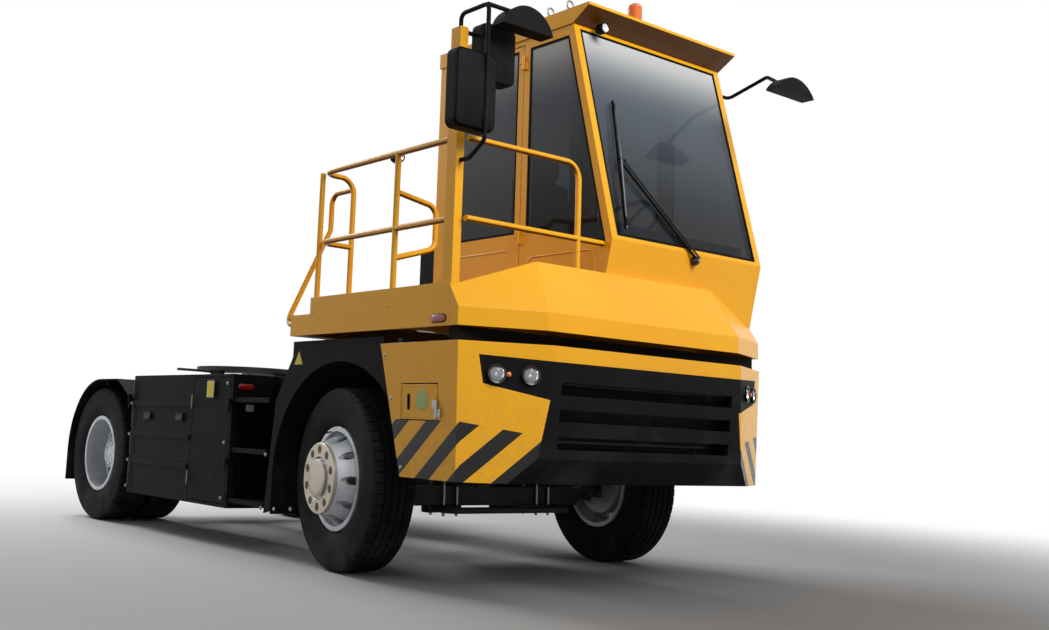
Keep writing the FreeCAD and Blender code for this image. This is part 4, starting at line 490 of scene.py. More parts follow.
def wheelSilver(name="wheelSilver", tone="silver"):
    # wheel paint: its tone clouded by the darker one of the same name
    finish = Finish(name)
    fine = finish.noise(60.0, 4.0, 0.6)
    cloud = finish.noise(6.0, 3.0)
    colour = finish.blend(cloud.smooth(0.3, 0.7) * 0.6, paintCare[tone], paintCare[tone + "Dark"])
    dust = roadDust(finish, 0.6, 0.1) * fine.smooth(0.4, 0.7) * 0.35
    colour = finish.blend(dust, colour, paintCare["dust"])
    material = finish.close(colour, 0.3 + fine * 0.14 + dust * 0.4, fine, 0.06, 0.0006, 0.003,
                            Metallic=0.4)
    return {"material": material, "slot": "wheel_paint"}


# heights where the painted sky reflection on the glass grows and whitens, and the glass's base cover
glassCare = {"tintFoot": 2.1, "tintHead": 3.05, "skyFoot": 2.75, "skyHead": 3.38, "solid": 0.62}


def windowGlass():
    # a dark tint that grows paler up the pane, with a whiter band at the head: both are painted reflection
    # of the sky, and the cover rises with the band
    care = glassCare
    finish = Finish("windowGlass")
    height = finish.along(2)
    smear = finish.noise(3.5, 4.0, 0.6)
    colour = finish.blend(height.smooth(care["tintFoot"], care["tintHead"]), paintCare["tint"],
                          paintCare["tintHead"])
    sky = height.smooth(care["skyFoot"], care["skyHead"])
    # painted reflection: the sky band whitens the head of each pane
    colour = finish.blend(sky * sky * 0.9, colour, paintCare["skyBand"])
    finish.feed(finish.shader.inputs["Alpha"], care["solid"] + sky * 0.25 + smear * 0.03)
    material = finish.close(colour, 0.03 + smear * 0.02, Specular_IOR_Level=glossCare["glass"])
    return {"material": material, "slot": "window_glass"}


def grainedPlastic(name="grainedPlastic", slot="dark_plastic", tone=(18, 18, 19), rough=0.5):
    # moulded plastic or rubber: fine grain, a little dust
    finish = Finish(name)
    grain = finish.noise(380.0, 3.0, 0.6)
    cloud = finish.noise(4.0, 3.0)
    colour = finish.blend(cloud.smooth(0.4, 0.7) * 0.5, shade(*tone), shade(*(part + 8 for part in tone)))
    dust = roadDust(finish, 1.1, 0.3) * cloud.smooth(0.4, 0.8) * 0.3
    colour = finish.blend(dust, colour, paintCare["roadDust"])
    material = finish.close(colour, rough + grain * 0.12 + dust * 0.3, grain, 0.14, 0.0006, 0.003,
                            Specular_IOR_Level=glossCare["plastic"])
    return {"material": material, "slot": slot}


def lensPlastic(name, slot, tone, deep):
    # a moulded lens with fine prism lines across it
    finish = Finish(name)
    prism = finish.node("ShaderNodeTexWave", {"bands_direction": "Z"},
                        {"Vector": finish.place, "Scale": 55.0})
    colour = finish.blend(prism * 0.6, shade(*tone), shade(*deep))
    material = finish.close(colour, 0.08 + prism * 0.05, prism, 0.3, 0.001, Coat_Roughness=0.03,
                            Coat_Weight=glossCare["lensCoat"])
    return {"material": material, "slot": slot}


def brightRod():
    # hard chrome, faintly hazed
    finish = Finish("brightRod")
    fine = finish.noise(120.0, 3.0)
    colour = finish.blend(fine * 0.3, paintCare["rod"], paintCare["rodDark"])
    material = finish.close(colour, 0.2 + fine * 0.12, fine, 0.05, 0.0004, Metallic=0.95)
    return {"material": material, "slot": "bright_steel"}


def mirrorSilver():
    # a full mirror with a trace of haze
    finish = Finish("mirrorSilver")
    haze = finish.noise(9.0, 3.0)
    material = finish.close(paintCare["mirror"], 0.02 + haze * 0.03, Metallic=1.0)
    return {"material": material, "slot": "bright_steel"}


def seatCloth():
    # a plain weave: two crossed sets of fine ridges
    finish = Finish("seatCloth")
    parts = [finish.along(axis) for axis in range(3)]
    waves = [(part * 1400.0).maths("SINE").size() for part in parts]
    weave = waves[0] * 0.4 + waves[1] * 0.3 + waves[2] * 0.4
    fleck = finish.noise(90.0, 3.0)
    colour = finish.blend(weave * 0.5 + fleck * 0.4, paintCare["cloth"], paintCare["clothRidge"])
    material = finish.close(colour, 0.85 + weave * 0.1, weave, 0.4, 0.0008, Sheen_Weight=0.25)
    return {"material": material, "slot": "seat_fabric"}


def clearLens():
    # thin moulded glass: light passes, with faint flutes
    finish = Finish("clearLens")
    flute = finish.node("ShaderNodeTexWave", {"bands_direction": "X"},
                        {"Vector": finish.place, "Scale": 40.0})
    finish.feed(finish.shader.inputs["Alpha"], 0.14 + flute * 0.06)
    material = finish.close(paintCare["clear"], 0.03 + flute * 0.02, flute, 0.1, 0.0006,
                            Coat_Weight=glossCare["lensCoat"], Coat_Roughness=0.02)
    return {"material": material, "slot": "lamp_lens"}


def polished(name, slot, tone, rough, metallic=0.0):
    # an even surface with a faint haze of a darker tone
    finish = Finish(name)
    haze = finish.noise(70.0, 3.0)
    colour = finish.blend(haze * 0.3, shade(*tone), shade(*(part * 0.8 for part in tone)))
    material = finish.close(colour, rough + haze * 0.08, haze, 0.04, 0.0005, Metallic=metallic)
    return {"material": material, "slot": slot}


# measuring the CAD: places of the new pieces are read from it, so that they follow its sizes


def cadPoints(*names):
    # all corner points of some CAD nodes, one row each
    parts = []
    for name in names:
        mesh = cadNodes[name].data
        flat = np.zeros(len(mesh.vertices) * 3, np.float32)
        mesh.vertices.foreach_get("co", flat)
        parts.append(flat.reshape(-1, 3).astype(float))
    return np.concatenate(parts)


def boxOf(name):
    # the low and the high corner of a CAD node's box
    return tuple(np.array(corner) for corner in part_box(name))


def islands(name):
    # the corner points of each separate solid of a CAD node: every edge spreads its lower label
    points = cadPoints(name)
    spots, index = np.unique(np.round(points, 5), axis=0, return_inverse=True)
    mesh = cadNodes[name].data
    ends = np.zeros(len(mesh.edges) * 2, np.int32)
    mesh.edges.foreach_get("vertices", ends)
    first, second = index.ravel()[ends].reshape(-1, 2).T
    label = np.arange(len(spots))
    while True:
        before = label.copy()
        lower = np.minimum(label[first], label[second])
        np.minimum.at(label, first, lower)
        np.minimum.at(label, second, lower)
        label = label[label]
        if (label == before).all():
            return [spots[label == value] for value in np.unique(label)]


def jointLine(name):
    # a joint's point and its unit axis
    joint = jointNamed[name]
    axis = np.array(joint["axis"], float)
    return np.array(joint["pos_m"], float), axis / np.linalg.norm(axis)


def reachAlong(points, centre, axis, inner=0.0, outer=9.0):
    # how far the points between two radii about the axis reach along it, low and high
    offset = (points - centre) @ axis
    radius = np.linalg.norm(points - centre - offset[:, None] * axis, axis=1)
    kept = offset[(radius >= inner) & (radius <= outer)]
    return kept.min(), kept.max()


# wheels: treaded tyres, nuts, studs, hub bolts and valves

wheelCare = {
    "pitches": 56,
    "grooveDepth": 0.013,
    "sipeDepth": 0.005,
    "lateralDepth": 0.011,
    "zigzag": 0.004,
    "crown": 0.004,
    "nutRing": 0.1675,
    "nutCount": 10,
    "nutAcross": 0.033,
    "nutHeight": 0.027,
    "coveredNut": (0.62, 0.62, 0.5),
    "capBoltRing": 0.074,
    "capBolts": 8,
    "coverInner": 0.125,
    "coverOuter": 0.201,
    "coverHole": 0.0245,
    "coverThick": 0.036,
    "hubCap": 0.108,
    "domeWide": 0.055,
    "domeHigh": 0.016,
    "valveRing": 0.268,
}


def treadedTyre(halfWidth, radius):
    # point = (x_j, (r_j - cut(i, j)) cos t_i, (r_j - cut(i, j)) sin t_i): rows i go round the tyre,
    # columns j across it; cut is the groove, the shoulder notch or the sipe, whichever is deepest
    care = wheelCare
    across = np.array((0, 9, 18, 19.5, 28.5, 30, 38, 46, 54, 62, 63.5, 72.5, 74, 84, 94, 104, 113)) / 1000
    tread = np.stack([across, -care["crown"] * (across / across[-1]) ** 2], -1)
    side = np.array(((120, -7), (126, -12), (130, -19), (132, -27), (134, -40), (136.5, -70), (138, -100),
                     (137.5, -130), (134, -160), (128, -185), (118, -208), (108, -224), (100.7, -229.5),
                     (100.7, -245.5))) / 1000
    half = np.concatenate([tread, side])
    groove = np.zeros(len(half))
    groove[[3, 4, 10, 11]] = care["grooveDepth"]
    notch = np.interp(half[:, 0], (0.078, 0.086, 0.113, 0.126, 0.132),
                      (0, 1, 1, 0.5, 0)) * care["lateralDepth"]
    notch[len(tread) + 5:] = 0
    sipe = np.where((half[:, 0] < 0.060) & (np.arange(len(half)) < len(tread)), care["sipeDepth"], 0)
    moved = np.isin(np.arange(len(half)), (2, 3, 4, 5, 9, 10, 11, 12)) * care["zigzag"]
    rows = np.array((0, 0.02, 0.16, 0.18, 0.56, 0.575, 0.605, 0.62))
    turn = (np.arange(care["pitches"])[:, None] + rows).ravel() * 2 * math.pi / care["pitches"]
    inNotch = np.tile(np.isin(np.arange(8), (1, 2)), care["pitches"])[:, None]
    inSipe = np.tile(np.isin(np.arange(8), (5, 6)), care["pitches"])[:, None]
    phase = turn * care["pitches"] / (2 * math.pi)
    columns = []
    for sign, shift in ((1, 0.0), (-1, 0.5)):
        swing = np.abs(((phase + shift) % 1) * 2 - 1) * 2 - 1
        x = sign * (half[:, 0] + swing[:, None] * moved)
        cut = np.maximum(groove, np.maximum(inNotch * notch, inSipe * sipe))
        columns.append((x, radius + half[:, 1] - cut))
    x = np.concatenate([columns[1][0][:, :0:-1], columns[0][0]], 1) * halfWidth / 0.138
    r = np.concatenate([columns[1][1][:, :0:-1], columns[0][1]], 1)
    points = np.stack([x, r * np.cos(turn)[:, None], r * np.sin(turn)[:, None]], -1)
    return gridShape(points, loopRows=True, loopCols=True, flip=True)


def wheelNut():
    # washer, six-sided nut and the stud's end, standing along Z
    care = wheelCare
    washer = turned([(0, 0), (0, 0.023), (0.004, 0.023), (0.005, 0.021), (0.005, 0)], 16)
    stud = turned([(0, 0), (0, 0.0105), (care["nutHeight"] + 0.011, 0.0105),
                   (care["nutHeight"] + 0.013, 0.008), (care["nutHeight"] + 0.013, 0)], 12)
    return joined(washer, placed(hexNut(care["nutAcross"], care["nutHeight"]), (0, 0, 0.004)), stud)


def ringSpots(centre, axes, ring, count, height, start=0.0):
    # count places on a circle about the third axis, at a height along it
    angle = start + np.arange(count) * 2 * math.pi / count
    local = np.stack([ring * np.cos(angle), ring * np.sin(angle), np.full(count, height)], -1)
    return centre + local @ axes.T


def coverRing():
    # nut cover standing along Z: each of its sectors is a square of cells drawn onto a circle and
    # sunk, so point = middle + (circle at c) inside the hole and a mix towards the square outside it
    care = wheelCare
    lines = np.array((-1, -0.8, -0.62, -0.6, -0.3, 0, 0.3, 0.6, 0.62, 0.8, 1))
    v, u = np.meshgrid(lines, lines[:-1], indexing="ij")
    reach = np.maximum(np.abs(u), np.abs(v))
    length = np.maximum(np.hypot(u, v), 1e-9)
    share = np.clip((reach - 0.6) / 0.4, 0, 1)
    middle = (care["coverInner"] + care["coverOuter"]) / 2
    half = (care["coverOuter"] - care["coverInner"]) / 2
    sector = math.pi / care["nutCount"]
    hole = np.minimum(reach / 0.6, 1) * care["coverHole"] / length
    across = (1 - share) * hole * u / middle + share * u * sector
    radius = middle + (1 - share) * hole * v + share * v * half
    height = np.where(reach > 0.61, care["coverThick"], 0.003)
    start = np.arange(care["nutCount"])[None, :, None] * 2 * sector + sector
    across = (across[:, None, :] + start).reshape(len(lines), -1)
    full = (len(lines), care["nutCount"], len(lines) - 1)
    radius = np.broadcast_to(radius[:, None, :], full).reshape(len(lines), -1)
    height = np.broadcast_to(height[:, None, :], full).reshape(len(lines), -1)
    # the underside: down the outer edge, across and up the inner one
    edge = 0.003
    rim, foot = height[:1] - edge, height[:1] * 0
    outer, inner = radius[-1:] + edge, radius[:1] - edge
    radius = np.concatenate([radius, outer, outer, inner, inner])
    height = np.concatenate([height, rim, foot, foot, rim])
    across = np.concatenate([across, across[-1:], across[-1:], across[:1], across[:1]])
    points = np.stack([radius * np.cos(across), radius * np.sin(across), height], -1)
    return gridShape(points, loopRows=True, loopCols=True, flip=True)


def dressWheel(side, place):
    # side is left or right, place is front or rear; outward is the axis pointing away from the truck
    care = wheelCare
    centre, axis = jointLine(place + "_spin_" + side)
    outward = axis if axis[0] * (1 if side == "left" else -1) > 0 else -axis
    body = ("front_wheel_" if place == "front" else "rear_wheels_") + side
    tyreNode = ("front_tyre_" if place == "front" else "rear_tyres_") + side
    rimNode = ("front_rim_" if place == "front" else "rear_rims_") + side
    axes = aimedAxes(outward)
    spun = np.stack([outward, axes[:, 0], axes[:, 1]], 1)
    rubber = cadPoints(tyreNode)
    low, high = reachAlong(rubber, centre, outward)
    radius = (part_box(tyreNode)[1][2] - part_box(tyreNode)[0][2]) / 2
    frontLow, frontHigh = reachAlong(cadPoints("front_tyre_right"), *jointLine("front_spin_right"))
    halfWidth = (frontHigh - frontLow) / 2
    spots = [0.0] if place == "front" else [low + halfWidth, high - halfWidth]
    tyre = treadedTyre(halfWidth, radius)
    shapes = [placed(tyre, centre + outward * spot, spun) for spot in spots]
    piece = addPiece(tyreNode.replace("_", "") + "Tread", joined(*shapes), body, finishes["tyre"], 28)
    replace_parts(piece, tyreNode)

    metal = cadPoints(rimNode)
    discFace = reachAlong(metal, centre, outward, care["nutRing"] - 0.045, care["nutRing"] + 0.037)[1]
    capFace = reachAlong(metal, centre, outward, 0.0, 0.1)[1]
    start = math.pi / care["nutCount"]
    nut = placed(wheelNut(), (0, 0, 0), axes)
    spots = ringSpots(centre, axes, care["nutRing"], care["nutCount"], discFace, start)
    if place == "front":
        # covered hub: pierced ring, short nuts in its holes and a cream cap
        nut = placed(wheelNut(), (0, 0, 0), axes * care["coveredNut"])
        spots = ringSpots(centre, axes, (care["coverInner"] + care["coverOuter"]) / 2, care["nutCount"],
                          discFace + 0.004, start)
        ring = placed(coverRing(), centre + outward * (discFace + 0.0005), axes)
        wide = care["hubCap"]
        plate = turned([(0, 0), (0, wide), (0.004, wide), (0.007, wide - 0.004), (0.009, wide * 0.72),
                        (0.0095, 0)], 48)
        cream = joined(placed(plate, centre + outward * capFace, axes), ring)
        addPiece(body + "Cover", cream, body, finishes["bronze"])
    # the front nuts sit in the cover's holes: their dark steel is partly real colour and partly painted
    # shade of the holes
    addPiece(body + "Nuts", copied(nut, spots), body, finishes["dark" if place == "front" else "bronze"])
    if place == "front":
        return dressValve(body, centre, outward, axes, discFace)
    bolt = joined(hexNut(0.016, 0.008), turned([(0, 0), (0, 0.0105), (0.0016, 0.0105), (0.0016, 0)], 14))
    cap = [copied(placed(bolt, (0, 0, 0), axes),
                  ringSpots(centre, axes, care["capBoltRing"], care["capBolts"], capFace, 0.2))]
    # the cap's domed middle: height = domeHigh (1 - (r / domeWide)^2)
    share = np.linspace(1, 0, 7)
    dome = np.stack([care["domeHigh"] * (1 - share ** 2), care["domeWide"] * share], -1)
    dome = np.concatenate([[(0.0, 0.0), (0.0, care["domeWide"])], dome])
    cap.append(placed(turned(dome, 40), centre + outward * capFace, axes))
    addPiece(body + "CapBolts", joined(*cap), body, finishes["silver"])
    dressValve(body, centre, outward, axes, discFace)


def dressValve(body, centre, outward, axes, discFace):
    # a stem bent inwards on its way out of the disc, with its cap
    foot = centre + outward * (discFace - 0.035) + axes[:, 1] * wheelCare["valveRing"]
    stem = tubeAlong([foot, foot + outward * 0.030 - axes[:, 1] * 0.006,
                      foot + outward * 0.062 - axes[:, 1] * 0.020], 0.0042, 10)
    cap = turned([(0, 0), (0, 0.006), (0.014, 0.006), (0.016, 0.0045), (0.016, 0)], 10)
    cap = placed(cap, foot + outward * 0.060 - axes[:, 1] * 0.0195,
                 aimedAxes(outward * 0.9 - axes[:, 1] * 0.4))
    addPiece(body + "Valve", joined(stem, cap), body, finishes["plastic"])


# nose: head lamps, markers, access door fittings, edge bolts and the cooler's fins

facings = {
    "right": np.array(((0, -1, 0), (0, 0, 1), (-1, 0, 0)), float).T,
    "left": np.array(((0, 1, 0), (0, 0, 1), (1, 0, 0)), float).T,
    "front": np.array(((1, 0, 0), (0, 0, 1), (0, -1, 0)), float).T,
    "rear": np.array(((-1, 0, 0), (0, 0, 1), (0, 1, 0)), float).T,
    "down": np.array(((1, 0, 0), (0, -1, 0), (0, 0, -1)), float).T,
}


def ringTurned(profile, sides=48):
    # a closed section of (height, radius) pairs turned about Z, as a ring without poles
    profile = np.asarray(profile, float)
    angle = np.arange(sides) * 2 * math.pi / sides
    radius = profile[:, 1][:, None]
    height = np.broadcast_to(profile[:, 0][:, None], (len(profile), sides))
    points = np.stack([radius * np.cos(angle), radius * np.sin(angle), height], -1)
    return gridShape(points, loopRows=True, loopCols=True, flip=True)


def boltHead(across=0.016, washer=0.012):
    # a low six-sided head on a thin washer, standing along Z
    height = across * 0.42
    plate = turned([(0, 0), (0, washer), (0.0015, washer), (0.0022, washer * 0.9), (0.0022, 0)], 14)
    return joined(plate, placed(hexNut(across, height), (0, 0, 0.0018)))


def frameBead(width, height, corner, radius, steps=6):
    # a round bead laid along a rounded rectangle, closed on itself
    outline = ringOutline(width, height, corner, steps)
    ring = np.column_stack([outline, np.zeros(len(outline))])
    angle = np.arange(8) * 2 * math.pi / 8
    ahead = np.roll(ring, -1, 0) - np.roll(ring, 1, 0)
    ahead /= np.linalg.norm(ahead, axis=1)[:, None]
    out = np.cross(ahead, (0, 0, 1.0))
    around = (np.cos(angle)[None, :, None] * out[:, None]
              + np.sin(angle)[None, :, None] * np.array((0, 0, 1.0)))
    return gridShape(ring[:, None] + radius * around, loopRows=True, loopCols=True)


lampCare = {"bowlDepth": 0.040, "rim": 0.005, "bulge": 0.010, "insideGap": 0.0015, "aimX": 0.4168,
            "smallLamp": 0.03}


def dressHeadLamps():
    # each lamp: a bright bowl whose depth falls as (r / R)^2, a bulb shield and a clear dome over it
    care = lampCare
    bowls, shields, lenses, markers = [], [], [], []
    corner = np.array((care["aimX"], -math.sqrt(1 - care["aimX"] ** 2), 0.0))
    for lamp in islands("headlamps"):
        aim = corner * (np.sign(lamp[0, 0]), 1, 1)
        ahead = lamp @ aim
        cluster = lamp[ahead > ahead.max() - 0.0015]
        middle = (cluster.max(0) + cluster.min(0)) / 2
        radius = (cluster[:, 2].max() - cluster[:, 2].min()) / 2
        axes = aimedAxes(aim)
        if radius < care["smallLamp"]:
            shape = turned([(-0.02, 0), (-0.02, radius), (0.002, radius), (0.006, radius * 0.6),
                            (0.007, 0)], 20)
            markers.append(placed(shape, middle, axes))
            continue
        share = np.linspace(1, 0, 9)
        bowl = [(-care["bowlDepth"] * (1 - part ** 2) - 0.002,
                 (radius - care["rim"]) * part) for part in share]
        shell = [(-care["bowlDepth"] - 0.008, 0), (-care["bowlDepth"] - 0.008, radius * 0.6),
                 (-0.012, radius), (0.002, radius), (0.003, radius - 0.002)]
        bowls.append(placed(turned(shell + bowl, 40), middle, axes))
        ring = [(-0.004, radius), (0.006, radius + 0.007), (0.010, radius + 0.004),
                (0.008, radius - 0.004), (-0.003, radius - 0.004)]
        shields.append(placed(ringTurned(ring, 40), middle, axes))
        post = [(-care["bowlDepth"] + 0.002, 0), (-care["bowlDepth"] + 0.002, radius * 0.36),
                (-0.018, radius * 0.40), (-0.015, radius * 0.33), (-0.020, radius * 0.28), (-0.020, 0)]
        shields.append(placed(turned(post, 28), middle, axes))
        eye = [(-0.021, 0), (-0.021, radius * 0.27), (-0.015, radius * 0.2), (-0.012, radius * 0.1),
               (-0.011, 0)]
        bowls.append(placed(turned(eye, 24), middle, axes))
        edge = radius - care["rim"] - care["insideGap"]
        dome = [(-0.001, 0), (-0.001, edge)]
        dome += [(0.001 + care["bulge"] * (1 - part ** 2), edge * part) for part in share]
        lenses.append(placed(turned(dome, 40), middle, axes))
    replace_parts(addPiece("headLampBowls", joined(*bowls), "vehicle", finishes["chrome"]), "headlamps")
    addPiece("headLampRings", joined(*shields), "vehicle", finishes["gloss"])
    addPiece("headLampLenses", joined(*lenses), "vehicle", finishes["lens"])
    addPiece("noseMarkers", joined(*markers), "vehicle", finishes["amberLens"])


markerCare = {"footShare": 0.4, "lensShare": 0.62, "crownShare": 0.34, "rim": 0.004, "wallX": -1.128,
              "wallZ": 1.065}


def dressSideMarkers():
    # oval lenses: each rises by its crown times (1 - share^2) over a rectangle with round ends
    care = markerCare
    points = cadPoints("side_markers")
    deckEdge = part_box("platform")[0][0] + 0.002
    lenses, feet = [], []
    groups = {
        "left": points[points[:, 0] > 0],
        "right": points[points[:, 0] < deckEdge],
        "recess": points[(points[:, 0] < 0) & (points[:, 0] >= deckEdge)],
    }
    for place, own in groups.items():
        low, high = own.min(0), own.max(0)
        facing = facings["left" if place == "left" else "right"]
        wallX = low[0] if place == "left" else high[0]
        length, height = high[1] - low[1], high[2] - low[2]
        at = (wallX, (low[1] + high[1]) / 2, (low[2] + high[2]) / 2)
        depth = high[0] - low[0]
        rim = care["rim"]
        foot = pillow(length, height, depth * care["footShare"], height * 0.49, 0.0015)
        lens = pillow(length - 2 * rim, height - 2 * rim, depth * care["lensShare"], height * 0.49 - rim,
                      rim, crown=depth * care["crownShare"])
        feet.append(placed(foot, at, facing))
        lenses.append(placed(lens, at, facing))
    # one more on the side box's front wall
    at = (care["wallX"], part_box("side_box")[0][1], care["wallZ"])
    feet.append(placed(foot, at, facings["front"]))
    lenses.append(placed(lens, at, facings["front"]))
    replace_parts(addPiece("sideMarkerLenses", joined(*lenses), "vehicle", finishes["red"]), "side_markers")
    addPiece("sideMarkerFeet", joined(*feet), "vehicle", finishes["plastic"])


accessCare = {"slotLength": 0.085, "slotWidth": 0.022, "slotShare": 0.80, "plateLong": 0.109,
              "plateWide": 0.104, "plateShare": 0.44, "plateRise": 0.01, "leafWide": 0.034,
              "hingeSkin": 0.0006, "beadInset": 0.022, "beadCorner": 0.014, "beadRadius": 0.0016}


def dressAccessDoor():
    # latch slot, blank oval label, hinge skins and a bead, all laid on the leaning face
    low, high = boxOf("access_door")
    care = accessCare
    lean = stripeCare["lean"]
    panel = cadPoints("access_door")
    panel = panel[panel[:, 1] > low[1] + 0.06]
    topX = panel[panel[:, 2] > high[2] - 0.01][:, 0].min()
    length = high[1] - low[1]
    middleZ = (low[2] + high[2]) / 2

    def spot(share, z):
        return np.array((topX + (high[2] - z) * lean, low[1] + length * share, z))

    tilt = math.atan(lean)
    axes = facings["right"] @ np.array(((1, 0, 0), (0, math.cos(tilt), -math.sin(tilt)),
                                        (0, math.sin(tilt), math.cos(tilt))))
    latch = joined(pillow(care["slotWidth"], care["slotLength"], 0.0025, 0.006, 0.001),
                   slab((-0.003, -0.026, 0.002), (0.003, 0.026, 0.007), 0.001))
    addPiece("accessLatch", placed(latch, spot(care["slotShare"], middleZ), axes), "access_door",
             finishes["plastic"])
    label = pillow(care["plateWide"], care["plateLong"], 0.0012, care["plateWide"] * 0.48, 0.0005, 11)
    addPiece("accessBlankLabel", placed(label, spot(care["plateShare"], middleZ + care["plateRise"]), axes),
             "access_door", finishes["greenLabel"])
    # silver over the hinge: a barrel and a leaf on each knuckle, the door's above and the nose's below
    pivot = jointLine("access_door_hinge")[0]
    knuckle = cadPoints("access_door")
    knuckle = knuckle[knuckle[:, 0] < pivot[0] - 0.001]
    foot, tall = knuckle[:, 2].min(), np.ptp(knuckle[:, 2])
    skin = care["hingeSkin"]
    radius = pivot[0] - knuckle[:, 0].min() + skin
    for name, body, z, side in (("accessHinge", "access_door", foot, 1),
                                ("noseHinge", "vehicle", foot - tall - skin / 2, -1)):
        barrel = turned([(0, 0), (0, radius), (tall, radius), (tall, 0)], 20)
        ends = sorted((pivot[1], pivot[1] + side * (care["leafWide"] + skin)))
        leaf = slab((pivot[0] - 2 * skin, ends[0], z), (pivot[0] + radius, ends[1], z + tall), skin)
        addPiece(name, joined(placed(barrel, (pivot[0], pivot[1], z)), leaf), body, finishes["steel"])
    inset = care["beadInset"]
    bead = frameBead(length - inset, high[2] - low[2] - inset, care["beadCorner"], care["beadRadius"])
    addPiece("accessBead", placed(bead, spot(0.5, middleZ), axes), "access_door", finishes["amber"])


noseCare = {"boltShares": (0.09, 0.42, 0.93), "boltInset": 0.026, "boltAcross": 0.014, "washer": 0.011}


def dressNose():
    # bolts down the sloping rear edge of the nose panel on both sides
    low, high = boxOf("fascia")
    fascia = cadPoints("fascia")
    care = noseCare
    tall = high[2] - low[2]
    topY = fascia[fascia[:, 2] > high[2] - 0.01][:, 1].max()
    footY = fascia[fascia[:, 2] < low[2] + 0.01][:, 1].max()
    spots, turns = [], []
    for side, facing in ((-1, "right"), (1, "left")):
        for share in care["boltShares"]:
            z = high[2] - tall * share
            x = side * (stripeCare["halfWidth"] - tall * share * stripeCare["lean"])
            spots.append((x, topY * (1 - share) + footY * share - care["boltInset"], z))
            turns.append(facings[facing])
    bolts = copied(boltHead(care["boltAcross"], care["washer"]), spots, np.array(turns))
    addPiece("noseBolts", bolts, "vehicle", finishes["steel"])


coolerCare = {"fins": 92, "depth": 0.008, "thick": 0.0022, "rows": 5, "margin": 0.03, "tubeHalf": 0.006}


def dressCooler():
    # upright fins across the cooler's face, split by level tubes
    low, high = boxOf("radiator")
    care = coolerCare
    margin, half = care["margin"], care["tubeHalf"]
    x = np.linspace(low[0] + margin, high[0] - margin, care["fins"])
    fin = slab((-care["thick"] / 2, -care["depth"], 0),
               (care["thick"] / 2, 0.001, high[2] - low[2] - 0.05), 0.0004)
    spots = np.column_stack([x, np.full_like(x, low[1]), np.full_like(x, low[2] + 0.025)])
    tubes = [slab((low[0] + 0.015, low[1] - care["depth"] - 0.002, z - half),
                  (high[0] - 0.015, low[1] + 0.001, z + half), half / 2)
             for z in np.linspace(low[2] + margin, high[2] - margin, care["rows"])]
    addPiece("coolerFins", joined(copied(fin, spots), *tubes), "vehicle", finishes["cast"])


# cab: window seals, door fittings, wiper, roof fittings, beacon, seat and dashboard


def paneCorners(points, outward):
    # the four corners of a pane's outer face, in order round its middle, and its normal
    middle = points.mean(0)
    normal = np.linalg.svd(points - middle)[2][-1]
    normal = normal * np.sign(normal @ np.array(outward, float))
    reach = points @ normal
    face = points[reach > reach.max() - 0.002]
    across = np.cross((0, 0, 1.0), normal)
    across /= np.linalg.norm(across)
    up = np.cross(normal, across)
    flat = np.column_stack([(face - middle) @ across, (face - middle) @ up])
    order = np.argsort(np.arctan2(flat[:, 1], flat[:, 0]))
    return face[order], normal


def frameRound(corners, normal, wide, thick, sink=0.0):
    # a flat strip inside a polygon: each inner corner lies where both neighbouring edges, drawn in
    # by the strip's width, cross
    corners = np.asarray(corners, float)
    ahead = np.roll(corners, -1, 0) - corners
    ahead /= np.linalg.norm(ahead, axis=1)[:, None]
    behind = np.roll(ahead, 1, 0)
    turn = np.einsum("ij,ij->i", np.cross(behind, ahead), np.broadcast_to(normal, ahead.shape))
    move = (behind - ahead) / np.where(np.abs(turn) < 1e-6, 1, turn)[:, None] * -1
    inner = corners + move * wide
    edge = min(thick * 0.5, 0.003)
    rise = np.asarray(normal, float)
    loops = [corners - rise * sink, corners + rise * (thick - edge),
             corners + move * edge + rise * thick, inner - move * edge + rise * thick,
             inner + rise * (thick - edge), inner - rise * sink]
    return gridShape(np.stack(loops), loopRows=True, loopCols=True, flip=True)


cabCare = {"sealWide": 0.016, "sealThick": 0.006, "beadRadius": 0.006, "beadCorner": 0.06,
           "doorThick": 0.036, "handleLong": 0.15, "handleReach": 0.034, "handleBend": 0.016,
           "handleRadius": 0.007, "handleInset": 0.035, "handleRise": 0.10, "lockDrop": 0.022,
           "pillar": 0.13, "leftInset": 0.4, "panelDrop": 0.16}


def dressWindows():
    # a rubber strip round the outer face of every pane, which looks away from the cab's middle
    care = cabCare
    glassLow, glassHigh = boxOf("cab_glass")
    for node, body in (("cab_glass", "vehicle"), ("door_right_glass", "door_right")):
        seals = []
        for pane in islands(node):
            middle = pane.mean(0)
            spread = pane.max(0) - pane.min(0)
            if spread[0] < 0.05:
                outward = (np.sign(middle[0] - (glassLow[0] + glassHigh[0]) / 2), 0, 0)
            else:
                outward = (0, np.sign(middle[1] - (glassLow[1] + glassHigh[1]) / 2), 0)
            corners, normal = paneCorners(pane, outward)
            seals.append(frameRound(corners, normal, care["sealWide"], care["sealThick"], 0.001))
        addPiece(node.replace("_", "") + "Seals", joined(*seals), body, finishes["rubber"])


